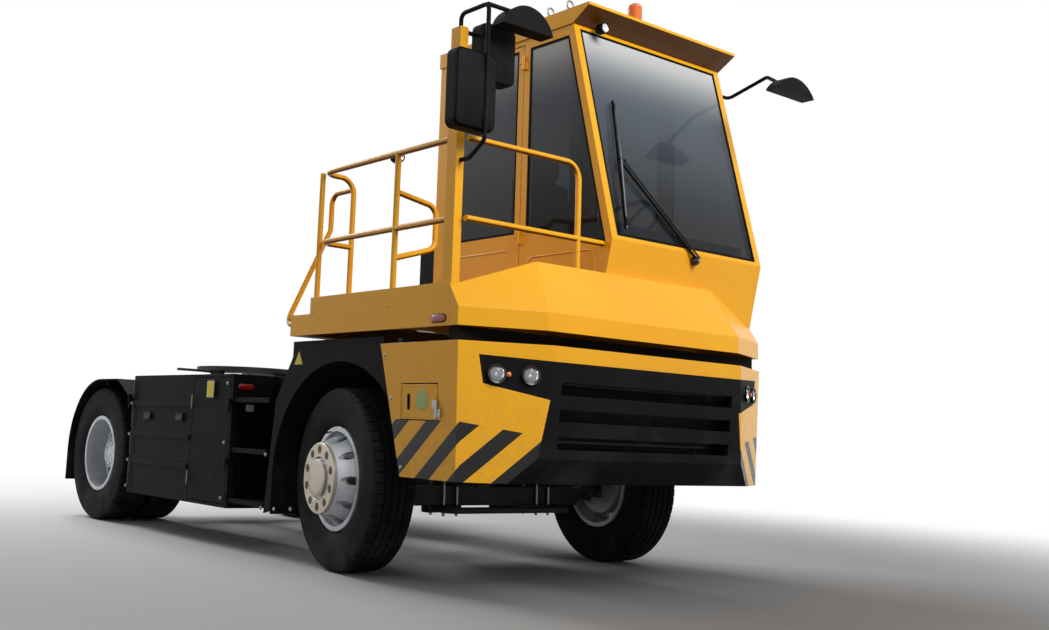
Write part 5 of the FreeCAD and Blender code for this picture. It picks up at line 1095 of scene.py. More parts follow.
def dressCabSide():
    # raised beads on the door and the fixed panels, and the door's handle and lock
    care = cabCare
    doorLow, doorHigh = boxOf("door_right")
    shellLow, shellHigh = boxOf("cab_shell")
    glassLow = boxOf("door_right_glass")[0]
    faceX = doorHigh[0] - care["doorThick"]
    corner, radius = care["beadCorner"], care["beadRadius"]
    # door: bead, handle and lock
    top, foot = glassLow[2] - 0.10, doorLow[2] + 0.07
    bead = frameBead(doorHigh[1] - doorLow[1] - 0.16, top - foot, corner, radius)
    at = (faceX + 0.002, (doorLow[1] + doorHigh[1]) / 2, (top + foot) / 2)
    addPiece("doorBead", placed(bead, at, facings["right"]), "door_right", finishes["amber"])
    y, z, half = doorHigh[1] - care["handleInset"], glassLow[2] + care["handleRise"], care["handleLong"] / 2
    outX = faceX - care["handleReach"]
    plate = placed(pillow(0.036, care["handleLong"] + 0.09, 0.004, 0.010, 0.0015), (faceX, y, z),
                   facings["right"])
    route = [(faceX, y, z - half + 0.01), (outX, y, z - half + 0.01), (outX, y, z + half),
             (faceX, y, z + half)]
    grip = tubeAlong(bentPath(route, care["handleBend"]), care["handleRadius"], 12)
    addPiece("doorHandle", joined(plate, grip), "door_right", finishes["plastic"])
    lock = turned([(0, 0), (0, 0.011), (0.008, 0.011), (0.010, 0.008), (0.010, 0)], 24)
    addPiece("doorLock", placed(lock, (faceX, y, z - half - care["lockDrop"]), facings["right"]),
             "door_right", finishes["steel"])
    # fixed panels: one ahead of the door and one on the left, each with its own bead
    low = np.array((shellLow[1] + care["pillar"], shellLow[2] + 0.10))
    high = np.array((doorLow[1] - 0.06, glassLow[2] - care["panelDrop"]))
    bead = frameBead(high[0] - low[0], high[1] - low[1], corner, radius)
    addPiece("quarterBead", placed(bead, (faceX + 0.002, *((low + high) / 2)), facings["right"]),
             "vehicle", finishes["amber"])
    tall = glassLow[2] - care["panelDrop"] - shellLow[2] - 0.10
    bead = frameBead(shellHigh[1] - shellLow[1] - care["leftInset"], tall, corner, radius)
    at = (shellHigh[0] - 0.002, (shellHigh[1] + shellLow[1]) / 2 + 0.06,
          (glassLow[2] - 0.06 + shellLow[2]) / 2)
    addPiece("leftBead", placed(bead, at, facings["left"]), "vehicle", finishes["amber"])


roofCare = {"eyeRing": 0.026, "eyeWire": 0.006, "eyeRise": 0.034, "eyeInset": 0.03,
            "eyesFromFront": (0.19, 0.36), "eyeFromRear": 0.12, "bodyShare": 0.84, "footHigh": 0.036,
            "domeHigh": 0.034, "ribs": 33, "ribDepth": 0.0016}


def dressRoof():
    # lifting eyes: a wire ring of points (R + w cos b)(cos a, sin a), w sin b on a turned foot
    care = roofCare
    low, high = boxOf("cab_roof")
    angle = np.linspace(0, 2 * math.pi, 29)[:-1]
    out = np.stack([np.cos(angle), np.zeros_like(angle), np.sin(angle)], -1)
    across = np.arange(10) * 2 * math.pi / 10
    around = (np.cos(across)[None, :, None] * out[:, None]
              + np.sin(across)[None, :, None] * np.array((0, 1.0, 0)))
    eye = gridShape(care["eyeRing"] * out[:, None] + care["eyeWire"] * around, loopRows=True,
                    loopCols=True, flip=True)
    foot = turned([(0, 0), (0, 0.018), (0.006, 0.018), (0.010, 0.010), (0.010, 0)], 20)
    eye = joined(placed(eye, (0, 0, care["eyeRise"])), foot)
    places = [low[1] + reach for reach in care["eyesFromFront"]] + [high[1] - care["eyeFromRear"]]
    spots = [(x, y, high[2]) for x in (low[0] + care["eyeInset"], high[0] - care["eyeInset"])
             for y in places]
    # the middle eye of each side stands across the other two
    crossed = facings["left"][:, [2, 0, 1]]
    turns = np.array([np.eye(3), crossed, np.eye(3)] * 2)
    addPiece("roofEyes", copied(eye, spots, turns), "vehicle", finishes["steel"])
    # beacon: a turned foot and a dome whose ribs follow a cosine
    beaconLow, beaconHigh = boxOf("beacon")
    middle = (*(beaconLow + beaconHigh)[:2] / 2, beaconLow[2])
    tall = beaconHigh[2] - beaconLow[2]
    radius = (beaconHigh[0] - beaconLow[0]) / 2
    body = radius * care["bodyShare"]
    rise, crown = care["footHigh"], care["domeHigh"]
    foot = [(0, 0), (0, radius), (0.018, radius), (0.024, radius * 0.94), (0.030, body + 0.003),
            (rise, body + 0.003), (rise, 0)]
    ribs = np.linspace(rise, tall - crown, care["ribs"])
    wave = body - care["ribDepth"] * (1 - np.cos(np.arange(care["ribs"]) * math.pi / 2))
    cap = np.linspace(0, math.pi / 2, 8)
    dome = [(crown, 0), (crown, body)] + list(zip(ribs, wave))
    dome += [(tall - crown + crown * math.sin(turn), (body - 0.001) * max(math.cos(turn), 0))
             for turn in cap]
    beaconFoot = addPiece("beaconFoot", placed(turned(foot, 40), middle), "vehicle", finishes["plastic"])
    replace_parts(beaconFoot, "beacon")
    addPiece("beaconDome", placed(turned(dome, 40), middle), "vehicle", finishes["amberLens"])


wiperCare = {"linkRadius": 0.006, "clipRadius": 0.010, "lipRadius": 0.0035, "past": 0.02,
             "spine": (0.006, 0.010, 0.013, 0.010, 0.006), "jointShare": 0.53,
             "claws": (0.06, 0.3, 0.45, 0.6, 0.75, 0.94)}


def dressWiper():
    # the arm is doubled by a thinner link; the blade gets a spine, claws and a rubber lip
    care = wiperCare
    points = cadPoints("wiper")
    low, high = points.min(0), points.max(0)
    pivot = points[points[:, 0] > high[0] - 0.03].mean(0)
    tip = points[points[:, 2] > high[2] - 0.02].mean(0)
    heel = points[points[:, 0] < low[0] + 0.02].mean(0)
    blade = tip - heel
    joint = heel + blade * care["jointShare"]
    along = blade / np.linalg.norm(blade)
    across = np.array((1.0, 0, 0))
    lean = np.cross(across, along)
    lean = lean / np.linalg.norm(lean) * np.sign(lean[1])
    shift = np.array((0.030, 0.0, 0.018))
    link = tubeAlong([pivot + shift + (0, -0.004, 0), joint + shift * 0.6 + (0, -0.006, 0)],
                     care["linkRadius"], 10)
    clip = tubeAlong([joint - across * 0.022 - lean * 0.010, joint + across * 0.04 - lean * 0.010],
                     care["clipRadius"], 12, 1.4)
    start, end = heel - along * care["past"], tip + along * care["past"]
    spine = tubeAlong([start, heel + blade * 0.25 - lean * 0.006, joint - lean * 0.010,
                       heel + blade * 0.75 - lean * 0.006, end], care["spine"], 12)
    lip = tubeAlong([start + lean * 0.010, end + lean * 0.010], care["lipRadius"], 8, 2.2)
    claws = [tubeAlong([heel + blade * share - lean * 0.006, heel + blade * share + lean * 0.010],
                       0.006, 8) for share in care["claws"]]
    housing = turned([(0, 0), (0, 0.030), (0.020, 0.028), (0.034, 0.020), (0.036, 0)], 28)
    housing = placed(housing, pivot + (0, 0.020, 0), facings["front"])
    nut = placed(hexNut(0.022, 0.014), pivot + (0, -0.014, 0), facings["front"])
    addPiece("wiperParts", joined(link, clip, spine, *claws, housing), "vehicle", finishes["gloss"])
    addPiece("wiperLip", lip, "vehicle", finishes["rubber"])
    addPiece("wiperNut", nut, "vehicle", finishes["steel"])


seatCare = {"crown": 0.030, "edge": 0.035, "bolster": 0.022, "flutes": 5, "fluteDepth": 0.010,
            "fluteReach": 0.72, "piping": 0.005, "backThick": 0.12, "backShare": 0.78, "headWide": 0.52,
            "headShare": 0.22, "headThick": 0.045, "lean": (0.08, 0.9968), "posts": 0.06}


def padShape(width, length, depth):
    # crowned pad over a rounded outline: z = depth + crown (1 - u^2)(1 - v^2) + bolster u^6, less the
    # flutes, whose depth follows 1 - |sin| along v
    care = seatCare
    count = 41
    u, v = np.meshgrid(np.linspace(-1, 1, count), np.linspace(-1, 1, count), indexing="ij")
    # a square grid drawn onto a rounded square
    pull = 1 - 0.10 * (u * v) ** 2
    x, y = u * pull * width / 2, v * pull * length / 2
    inner = np.abs(u) < care["fluteReach"]
    fluted = np.abs(np.sin((v + 1) * math.pi / 2 * care["flutes"])) * inner
    border = np.clip((1 - np.maximum(np.abs(u), np.abs(v))) / 0.12, 0, 1)
    rounded = np.sqrt(1 - (1 - border) ** 2)
    height = (depth - care["edge"] + care["edge"] * rounded + care["crown"] * (1 - u ** 2) * (1 - v ** 2)
              + care["bolster"] * np.abs(u) ** 6 * rounded
              - care["fluteDepth"] * (1 - fluted) * inner * rounded)
    top = np.stack([x, y, height], -1)
    under = np.stack([x * 0.97, y * 0.97, 0.012 * (1 - rounded)], -1)
    upper, lower = gridShape(top), gridShape(under, flip=True)
    ring = np.concatenate([np.stack([np.arange(count), np.zeros(count, int)], -1),
                           np.stack([np.full(count - 1, count - 1), np.arange(1, count)], -1),
                           np.stack([np.arange(count - 2, -1, -1), np.full(count - 1, count - 1)], -1),
                           np.stack([np.zeros(count - 2, int), np.arange(count - 2, 0, -1)], -1)])
    rim = np.stack([under[ring[:, 0], ring[:, 1]], top[ring[:, 0], ring[:, 1]]])
    return joined(upper, lower, gridShape(rim, loopCols=True, flip=True)), top[ring[:, 0], ring[:, 1]]


def dressSeat():
    # pads for the cushion, the back and the head rest, each with piping, on a plain shell
    care = seatCare
    low, high = boxOf("seat")
    levels = np.unique(np.round(cadPoints("seat")[:, 2], 3))
    cushionTop = levels[1:-1].mean()
    width, length, tall = high[0] - low[0], high[1] - low[1], high[2] - cushionTop
    thick, crown = care["backThick"], care["crown"]
    middleX = (low[0] + high[0]) / 2
    flat = np.eye(3)
    upright = np.stack([(-1.0, 0, 0), (0, *care["lean"]), (0, -care["lean"][1], care["lean"][0])], 1)
    plans = {
        "seatCushion": (padShape(width - 0.02, length - thick - 0.01, cushionTop - low[2] - 0.012 - crown),
                        (middleX, low[1] + (length - thick) / 2, low[2] + 0.006), flat, 0.9),
        "seatBack": (padShape(width - 0.05, tall * care["backShare"], thick - crown - 0.02),
                     (middleX, high[1] - 0.035, cushionTop + tall * 0.40), upright, 0.9),
        "headRest": (padShape(width * care["headWide"], tall * care["headShare"], care["headThick"]),
                     (middleX, high[1] - 0.030, high[2] - tall * 0.10), upright, 0.95),
    }
    pads, piping = {}, []
    for name, ((pad, rim), at, axes, fill) in plans.items():
        pads[name] = addPiece(name, placed(pad, at, axes), "vehicle", finishes["cloth"], 60)
        ring = rim @ axes.T + at
        piping.append(tubeAlong(np.concatenate([ring, ring[:1]]), care["piping"], 8))
    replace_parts(pads["seatCushion"], "seat")
    addPiece("seatPiping", joined(*piping), "vehicle", finishes["rubber"])
    shell = [slab((low[0] + 0.02, high[1] - 0.035, cushionTop - 0.02),
                  (high[0] - 0.02, high[1] - 0.004, high[2] - tall * 0.24), 0.012, 0.05),
             slab((low[0] + 0.01, low[1] + 0.01, low[2]),
                  (high[0] - 0.01, high[1] - 0.02, low[2] + 0.016), 0.006, 0.05)]
    arms = [slab((x - 0.028, high[1] - 0.36, cushionTop + 0.16),
                 (x + 0.028, high[1] - 0.05, cushionTop + 0.20), 0.014)
            for x in (low[0] + 0.03, high[0] - 0.03)]
    addPiece("seatShell", joined(*shell, *arms), "vehicle", finishes["plastic"])
    posts = [tubeAlong([(middleX + aside, high[1] - 0.026, high[2] - tall * 0.30),
                        (middleX + aside, high[1] - 0.026, high[2] - tall * 0.16)], 0.006, 10)
             for aside in (-care["posts"], care["posts"])]
    addPiece("seatPosts", joined(*posts), "vehicle", finishes["steel"])


# platform side: mirrors, rail feet, deck tread, work lamps

mirrorCare = {"lip": 0.006, "glassInset": 0.016, "corner": 0.040, "bulge": 0.018, "crown": 0.010,
              "mainWide": 0.270, "sideWide": 0.242}


def boxWithin(points, low, high):
    # smallest box round those points that lie between two corners
    inside = points[np.all((points >= low) & (points <= high), axis=1)]
    return inside.min(0), inside.max(0)


def mirrorHead(low, high):
    # on a flat head: a bulged back ahead of it, a thin rim and a glass on the face looking rear
    care = mirrorCare
    width, depth, height = high - low
    middle = (low + high) / 2
    corner = care["corner"]
    back = placed(pillow(width - 0.002, height - 0.002, care["bulge"], corner, 0.014, 8, care["crown"]),
                  (middle[0], low[1] + 0.002, middle[2]), facings["front"])
    rim = placed(frameBead(width - 2 * care["lip"], height - 2 * care["lip"], corner, care["lip"]),
                 (middle[0], high[1] - 0.001, middle[2]), facings["rear"])
    inset = 2 * care["glassInset"]
    glass = placed(pillow(width - inset, height - inset, 0.003, corner * 0.7, 0.0015),
                   (middle[0], high[1] - 0.0005, middle[2]), facings["rear"])
    return back, rim, glass


def dressMirrors():
    # both heads of the right post: the main one hangs on the arm's outer end, the other inside it
    care = mirrorCare
    low, high = boxOf("mirror_right")
    mainLow, mainHigh = boxWithin(cadPoints("mirror_right"), (low[0], low[1], low[2] + 0.10),
                                  (low[0] + 0.02, high[1], high[2]))
    mainHigh[0] = low[0] + care["mainWide"]
    inner = [solid for solid in islands("mirror_right") if solid[:, 0].min() > low[0] + 0.1][0]
    sideLow, sideHigh = inner.min(0), inner.max(0)
    sideLow[0] = max(sideLow[0], sideHigh[0] - care["sideWide"])
    shells, glasses = [], []
    for headLow, headHigh in ((mainLow, mainHigh), (sideLow, sideHigh)):
        back, rim, glass = mirrorHead(headLow, headHigh)
        shells += [back, rim]
        glasses.append(glass)
    addPiece("mirrorBacks", joined(*shells), "vehicle", finishes["plastic"])
    addPiece("mirrorGlass", joined(*glasses), "vehicle", finishes["mirror"])


deckCare = {"pitch": 0.055, "barLong": 0.030, "barWide": 0.008, "barHigh": 0.0035, "margin": 0.05,
            "outerEdge": 0.09, "front": 0.40, "rear": 0.07, "stepThick": 0.030}


def treadBars(low, high, level):
    # bars turned left and right in turn, each with sloped sides and a small flat top
    care = deckCare
    half = np.array((care["barLong"], care["barWide"])) / 2
    rim = np.array([(-1, 0), (-0.6, -1), (0.6, -1), (1, 0), (0.6, 1), (-0.6, 1)]) * half
    rise = care["barHigh"]
    loops = np.stack([np.column_stack([rim * part, np.full(6, height)])
                      for part, height in ((1, 0), (0.55, rise), (0.0, rise))])
    bar = gridShape(loops, loopCols=True, flip=True)
    x, y = np.meshgrid(np.arange(low[0], high[0], care["pitch"]), np.arange(low[1], high[1], care["pitch"]),
                       indexing="ij")
    ways = (np.indices(x.shape).sum(0) % 2 * math.pi / 2 + math.pi / 4).ravel()
    spots = np.stack([x.ravel(), y.ravel(), np.full(x.size, level)], -1)
    cos, sin, zero = np.cos(ways), np.sin(ways), np.zeros(x.size)
    turns = np.stack([np.stack([cos, sin, zero], -1), np.stack([-sin, cos, zero], -1),
                      np.stack([zero, zero, zero + 1], -1)], -1)
    return copied(bar, spots, turns)


def dressDeck():
    # raised bars on the deck and on each step, and a flange under each upright of the rails
    care = deckCare
    low, high = boxOf("platform")
    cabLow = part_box("cab_shell")[0]
    levels = np.round(cadPoints("platform")[:, 2], 3)
    deckTop = levels[np.abs(levels - cabLow[2]).argmin()]
    tread = treadBars((low[0] + care["outerEdge"], low[1] + care["front"]),
                      (cabLow[0] - care["margin"], high[1] - care["rear"]), deckTop)
    addPiece("deckTread", tread, "vehicle", finishes["amber"])
    stepLow, stepHigh = boxOf("steps_right")
    tops = np.unique(np.round(cadPoints("steps_right")[:, 2], 3))
    treads = [top for top in tops if np.isclose(top - care["stepThick"], tops, atol=0.0015).any()]
    bars = [treadBars((stepLow[0] + 0.05, stepLow[1] + 0.05), (stepHigh[0] - 0.03, stepHigh[1] - 0.04),
                      top) for top in treads]
    addPiece("stepTread", joined(*bars), "vehicle", finishes["graphite"])
    rails = cadPoints("handrails")
    feet = rails[rails[:, 2] < deckTop + 0.002]
    spots = []
    for key in np.unique(np.round(feet[:, :2], 1), axis=0):
        near = feet[np.hypot(*(feet[:, :2] - key).T) < 0.06]
        centre = (near.min(0) + near.max(0)) / 2
        if all(np.hypot(*(centre[:2] - spot[:2])) > 0.05 for spot in spots):
            spots.append(centre)
    flange = turned([(0, 0), (0, 0.032), (0.005, 0.032), (0.007, 0.024), (0.007, 0)], 24)
    spots = [(x, y, deckTop + 0.0002) for x, y, z in spots]
    addPiece("railFlanges", copied(flange, spots), "vehicle", finishes["amber"])


def dressWorkLamps():
    # black can round each lamp, with a bright bowl and a clear lens at its front
    cans, bowls, lenses = [], [], []
    for solid in islands("work_lamps"):
        low, high = solid.min(0), solid.max(0)
        at = np.array(((low[0] + high[0]) / 2, high[1], (low[2] + high[2]) / 2))
        depth, outer = high[1] - low[1], (high[0] - low[0]) / 2 * 0.99
        can = [(0, 0), (0, outer * 0.7), (0.018, outer), (depth, outer), (depth, outer - 0.004),
               (depth - 0.016, outer - 0.006), (depth - 0.016, 0)]
        bowl = [(depth - 0.015, 0), (depth - 0.015, outer * 0.35), (depth - 0.006, outer - 0.007),
                (depth - 0.005, outer - 0.007), (depth - 0.0135, outer * 0.3), (depth - 0.013, 0)]
        lens = [(depth - 0.004, 0), (depth - 0.004, outer - 0.0065), (depth - 0.001, outer - 0.0065),
                (depth - 0.0005, 0)]
        cans.append(placed(turned(can, 32), at, facings["front"]))
        bowls.append(placed(turned(bowl, 28), at, facings["front"]))
        lenses.append(placed(turned(lens, 28), at, facings["front"]))
    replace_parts(addPiece("workLampCans", joined(*cans), "vehicle", finishes["plastic"]), "work_lamps")
    addPiece("workLampBowls", joined(*bowls), "vehicle", finishes["chrome"])
    addPiece("workLampLenses", joined(*lenses), "vehicle", finishes["lens"])


# chassis: side box fittings, tank straps, axle fittings, labels and tail lamps

# heights are above the ground, and places along the box count from its front wall
boxCare = {"latchLong": 0.095, "latchWide": 0.022, "latchHeights": (0.955, 0.432), "latchInset": 0.014,
           "boltHeights": (1.085, 0.690, 0.325), "boltInset": 0.030, "label": 0.11,
           "labelInset": 0.269, "labelHeight": 1.046, "grip": 0.125, "gripHigh": 0.055,
           "gripPlaces": (0.7605, 1.297), "gripHeight": 0.847, "ledges": (0.505, 0.708, 0.935),
           "stripWide": 0.020, "stripInset": 0.045, "endBolts": (0.505, 0.935, 0.700)}


def hoop(width, height, corner, wide, thick):
    # flat band round a rounded rectangle, standing along Z
    inner = ringOutline(width, height, corner)
    outer = ringOutline(width + 2 * thick, height + 2 * thick, corner + thick)
    levels = [(inner, 0), (outer, 0), (outer, wide), (inner, wide)]
    points = np.stack([np.column_stack([ring, np.full(len(ring), z)]) for ring, z in levels])
    return gridShape(points, loopRows=True, loopCols=True, flip=True)


def dressSideBox():
    # fittings of the box by the frame: latches, bolts, label, grips with painted shade in their hollows,
    # and painted shade in the gaps by its ledges
    care = boxCare
    low, high = boxOf("side_box")
    doorLow, doorHigh = boxOf("side_box_door")
    faceX = doorLow[0]
    right = facings["right"]
    # door: two latches, a row of bolts and a framed blank label
    latch = pillow(care["latchWide"], care["latchLong"], 0.004, 0.006, 0.0015)
    spots = [(faceX + 0.0005, doorHigh[1] - care["latchInset"], z) for z in care["latchHeights"]]
    addPiece("boxLatches", joined(*[placed(latch, spot, right) for spot in spots]), "side_box_door",
             finishes["gloss"])
    bolt = placed(boltHead(), (0, 0, 0), right)
    spots = [(faceX + 0.0005, doorLow[1] + care["boltInset"], z) for z in care["boltHeights"]]
    addPiece("boxDoorBolts", copied(bolt, spots), "side_box_door", finishes["steel"])
    wide = care["label"]
    at = (faceX - 0.0002, doorLow[1] + care["labelInset"], care["labelHeight"])
    back = placed(pillow(wide, wide + 0.012, 0.0012, 0.008, 0.0005), at, right)
    addPiece("boxLabelBack", back, "side_box_door", finishes["gloss"])
    label = placed(pillow(wide - 0.012, wide, 0.0012, 0.006, 0.0005), np.array(at) - (0.0008, 0, 0), right)
    addPiece("boxLabel", label, "side_box_door", finishes["yellowLabel"])
    # fixed wall: its face is the first level behind the box's outermost trim
    levels = np.unique(np.round(islands("side_box")[0][:, 0], 4))
    wall = levels[levels > low[0] + 0.004][0]
    wide, tall = care["grip"], care["gripHigh"]
    # grips: a frame, a near-black sheet that paints the shade of the hollow, and a bar across its lower
    # half
    frames, hollowShades, bars = [], [], []
    for place in care["gripPlaces"]:
        middle = np.array((wall, low[1] + place, care["gripHeight"]))
        hollowShades.append(placed(pillow(wide, tall, 0.0015, 0.010, 0.0005), middle, right))
        frames.append(placed(frameBead(wide, tall, 0.012, 0.003), middle - (0.0005, 0, 0), right))
        bars.append(placed(pillow(wide * 0.55, tall * 0.45, 0.006, 0.006, 0.002),
                           middle + (0, -wide * 0.16, -tall * 0.2), right))
    addPiece("gripWells", joined(*hollowShades), "vehicle", finishes["void"])
    addPiece("gripFrames", joined(*frames), "vehicle", finishes["graphite"])
    addPiece("gripBars", joined(*bars), "vehicle", finishes["cast"])
    # near-black strips between the ledges, near the rear end, that paint the shade of the gaps there, and a
    # bolt at each ledge
    ledges = (low[2] + 0.01, *care["ledges"], high[2] - 0.02)
    gapY = high[1] - care["stripInset"]
    gapShades = [slab((wall - 0.003, gapY, lower + 0.045),
                   (wall + 0.002, gapY + care["stripWide"], upper - 0.012), 0.002)
              for lower, upper in zip(ledges[:-1], ledges[1:])]
    addPiece("boxStrips", joined(*gapShades), "vehicle", finishes["void"])
    spots = [(wall - 0.001, high[1] - 0.012, z) for z in (*care["endBolts"], low[2] + 0.05)]
    addPiece("boxBolts", copied(bolt, spots), "vehicle", finishes["steel"])


# each place is a pair of numbers across the face that carries it
labelCare = {"archPlace": (-0.862, 1.225), "archRadius": 0.055, "wallPlace": (-1.089, 0.925),
             "wallWide": 0.060, "wallHigh": 0.045, "thick": 0.0012,
             "archBolts": ((-0.532, 0.634), (-0.510, 0.300), (-0.671, 0.306), (-0.864, 0.321))}


def dressLabels():
    # blank plates: a yellow one on the arch, a white one on the side box's front wall, and the arch bolts
    care = labelCare
    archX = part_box("wheel_arches")[0][0]
    angle = math.pi / 2 + np.arange(3) * 2 * math.pi / 3
    triangle = np.column_stack([care["archRadius"] * np.cos(angle), care["archRadius"] * np.sin(angle)])
    plate = placed(sheetAlong(triangle, care["thick"]), (archX + 0.0004, *care["archPlace"]),
                   facings["right"])
    addPiece("archLabel", plate, "vehicle", finishes["yellowLabel"])
    x, z = care["wallPlace"]
    plate = placed(pillow(care["wallWide"], care["wallHigh"], care["thick"], 0.004, 0.0005),
                   (x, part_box("side_box")[0][1] + 0.0002, z), facings["front"])
    addPiece("wallLabel", plate, "vehicle", finishes["whiteLabel"])
    spots = [(archX + 0.0005, y, z) for y, z in care["archBolts"]]
    both = copied(placed(boltHead(), (0, 0, 0), facings["right"]), spots)
    addPiece("archBolts", joined(both, mirroredX(both)), "vehicle", finishes["steel"])


tankCare = {"strapWide": 0.045, "strapThick": 0.004, "straps": (0.25, 0.75), "corner": 0.110,
            "boltInset": 0.16}


def dressTank():
    # two straps round the tank below its filler, each with two bolts on the outer side
    care = tankCare
    low, high = boxOf("fuel_tank")
    points = cadPoints("fuel_tank")
    middleX = (low[0] + high[0]) / 2
    topZ = np.unique(np.round(points[np.abs(points[:, 0] - middleX) > 0.15][:, 2], 3)).max()
    band = hoop(high[0] - low[0] - 0.001, topZ - low[2] - 0.001, care["corner"], care["strapWide"],
                care["strapThick"])
    places = [low[1] + (high[1] - low[1]) * share for share in care["straps"]]
    straps = [placed(band, (middleX, y, (low[2] + topZ) / 2), facings["front"]) for y in places]
    addPiece("tankStraps", joined(*straps), "vehicle", finishes["steel"])
    spots = [(high[0] + 0.003, y - care["strapWide"] / 2, z) for y in places
             for z in (low[2] + care["boltInset"], topZ - care["boltInset"])]
    addPiece("tankBolts", copied(placed(boltHead(), (0, 0, 0), facings["left"]), spots), "vehicle",
             finishes["steel"])


springCare = {"boltRadius": 0.009, "boltSpread": 0.062, "plateThick": 0.024, "plateHalf": 0.095,
              "side": 0.012, "nut": 0.030, "nutHigh": 0.024, "clamps": (0.25, 0.75),
              "barRadius": 0.020, "barReach": 0.50, "barAhead": 0.20, "barBehind": 0.06}


def dressSprings():
    # spring plates under the front axle, held by two bent bolts each, and clamps round the leaves
    care = springCare
    axleLow, axleHigh = boxOf("front_axle")
    centreY = (axleLow[1] + axleHigh[1]) / 2
    bottom = axleLow[2] - care["plateThick"] - 0.0005
    plates, bolts, nuts, clamps = [], [], [], []
    for solid in islands("front_springs"):
        low, high = solid.min(0), solid.max(0)
        topZ = solid[np.abs(solid[:, 1] - centreY) < 0.12][:, 2].max() + 0.010
        left, right = low[0] - care["side"], high[0] + care["side"]
        plates.append(slab((left - 0.022, centreY - care["plateHalf"], bottom),
                           (right + 0.022, centreY + care["plateHalf"], axleLow[2] - 0.0005), 0.005, 0.02))
        for y in (centreY - care["boltSpread"], centreY + care["boltSpread"]):
            path = bentPath([(left, y, bottom - 0.045), (left, y, topZ), (right, y, topZ),
                             (right, y, bottom - 0.045)], 0.02)
            bolts.append(tubeAlong(path, care["boltRadius"], 12))
            nuts += [placed(hexNut(care["nut"], care["nutHigh"]), (x, y, bottom), facings["down"])
                     for x in (left, right)]
        for share in care["clamps"]:
            y = low[1] + (high[1] - low[1]) * share
            near = solid[np.abs(solid[:, 1] - y) < 0.09]
            if len(near):
                clamps.append(slab((low[0] - 0.006, y - 0.02, near[:, 2].min() - 0.004),
                                   (high[0] + 0.006, y + 0.02, near[:, 2].max() + 0.004), 0.003))
    # anti-roll bar ahead of the axle, its ends clamped under the beam
    reach, foot = care["barReach"], axleLow[2] - care["barRadius"] - 0.004
    front, rear = centreY - care["barAhead"], centreY + care["barBehind"]
    path = bentPath([(-reach, rear, foot), (-reach, front, foot), (reach, front, foot),
                     (reach, rear, foot)], 0.06)
    plates.append(tubeAlong(path, care["barRadius"], 14))
    clamps += [slab((x - 0.04, centreY - 0.035, foot - 0.026),
                    (x + 0.04, centreY + 0.035, axleLow[2] + 0.002), 0.006) for x in (-reach, reach)]
    addPiece("springPlates", joined(*plates, *clamps), "vehicle", finishes["cast"])
    addPiece("springBolts", joined(*bolts, *nuts), "vehicle", finishes["steel"])


axleCare = {"chamberSide": 0.40, "chamberBehind": 0.155, "chamberRise": 0.02, "armHalf": 0.035}


def dressRearAxle():
    # a brake chamber on a bracket behind each end of the axle tube
    care = axleCare
    centre = jointLine("rear_spin_right")[0]
    profile = [(0, 0), (0, 0.062), (0.012, 0.078), (0.060, 0.082), (0.062, 0.088), (0.076, 0.088),
               (0.078, 0.082), (0.120, 0.078), (0.138, 0.055), (0.142, 0)]
    cans, arms = [], []
    for x in (-care["chamberSide"], care["chamberSide"]):
        at = (x, centre[1] + care["chamberBehind"], centre[2] + care["chamberRise"])
        cans.append(placed(turned(profile, 32), at, facings["rear"]))
        arms.append(slab((x - care["armHalf"], centre[1] + 0.05, centre[2] - 0.03),
                         (x + care["armHalf"], at[1] + 0.002, centre[2] + 0.07), 0.006))
    addPiece("brakeChambers", joined(*cans, *arms), "vehicle", finishes["cast"])


tailCare = {"rim": 0.006, "sink": 0.008, "gap": 0.001, "edge": 0.003}


def dressTailLamps():
    # black housing with a red, an amber and a clear window side by side
    care = tailCare
    rim, gap = care["rim"], care["gap"]
    shells, panes = [], {"red": [], "amberLens": [], "clear": []}
    for solid in islands("tail_lamps"):
        low, high = solid.min(0), solid.max(0)
        shells.append(slab(low, high - (0, care["sink"], 0), 0.005, 0.012))
        width = (high[0] - low[0] - 2 * rim) / 3
        order = list(panes) if low[0] < 0 else list(panes)[::-1]
        for index, kind in enumerate(order):
            left = low[0] + rim + index * width
            panes[kind].append(slab((left + gap, high[1] - care["sink"] - 0.002, low[2] + rim),
                                    (left + width - gap, high[1] - 0.0005, high[2] - rim), care["edge"]))
    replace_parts(addPiece("tailHousings", joined(*shells), "vehicle", finishes["plastic"]), "tail_lamps")
    for kind, shapes in panes.items():
        addPiece("tailPanes" + kind[0].upper() + kind[1:], joined(*shapes), "vehicle", finishes[kind])


frontCare = {"shroudFoot": 0.645, "shieldFoot": 1.02, "shieldInner": -0.62, "sealSide": 1.205,
             "linerLow": (-0.615, -1.250, 1.030), "linerHigh": (-0.603, -0.700, 1.300)}


def dressFront():
    # shroud below the cooler, a seal beside it, splash shields above the front wheels and a liner: real
    # parts, coloured near-black as painted shade that closes the see-through gaps behind the nose
    care = frontCare
    low, high = boxOf("radiator")
    archLow, archHigh = boxOf("wheel_arches")
    foot = care["shroudFoot"]
    shroud = slab((low[0] + 0.02, high[1] - 0.012, foot), (high[0] - 0.02, high[1] - 0.002, low[2] + 0.004),
                  0.003)
    shield = slab((archLow[0] + 0.03, archLow[1] - 0.035, care["shieldFoot"]),
                  (care["shieldInner"], archLow[1] + 0.010, archHigh[2] - 0.01), 0.004)
    seal = slab((high[0] + 0.001, high[1] - 0.012, foot), (care["sealSide"], high[1] - 0.004, high[2]),
                0.003)
    liner = slab(care["linerLow"], care["linerHigh"], 0.003)
    sides = joined(shield, seal, liner)
    addPiece("frontShields", joined(shroud, sides, mirroredX(sides)), "vehicle", finishes["void"])


# finishes of the CAD nodes, and the hazard stripes of the nose

stripeCare = {"cornerY": -2.421, "halfWidth": 1.25, "lean": 0.0336, "top": 1.295, "facetCos": 0.909,
              "pitch": 0.267, "share": 0.457, "slope": 1.2, "level": 0.86, "start": -0.010,
              "headZ": 0.885, "headFall": 0.13}


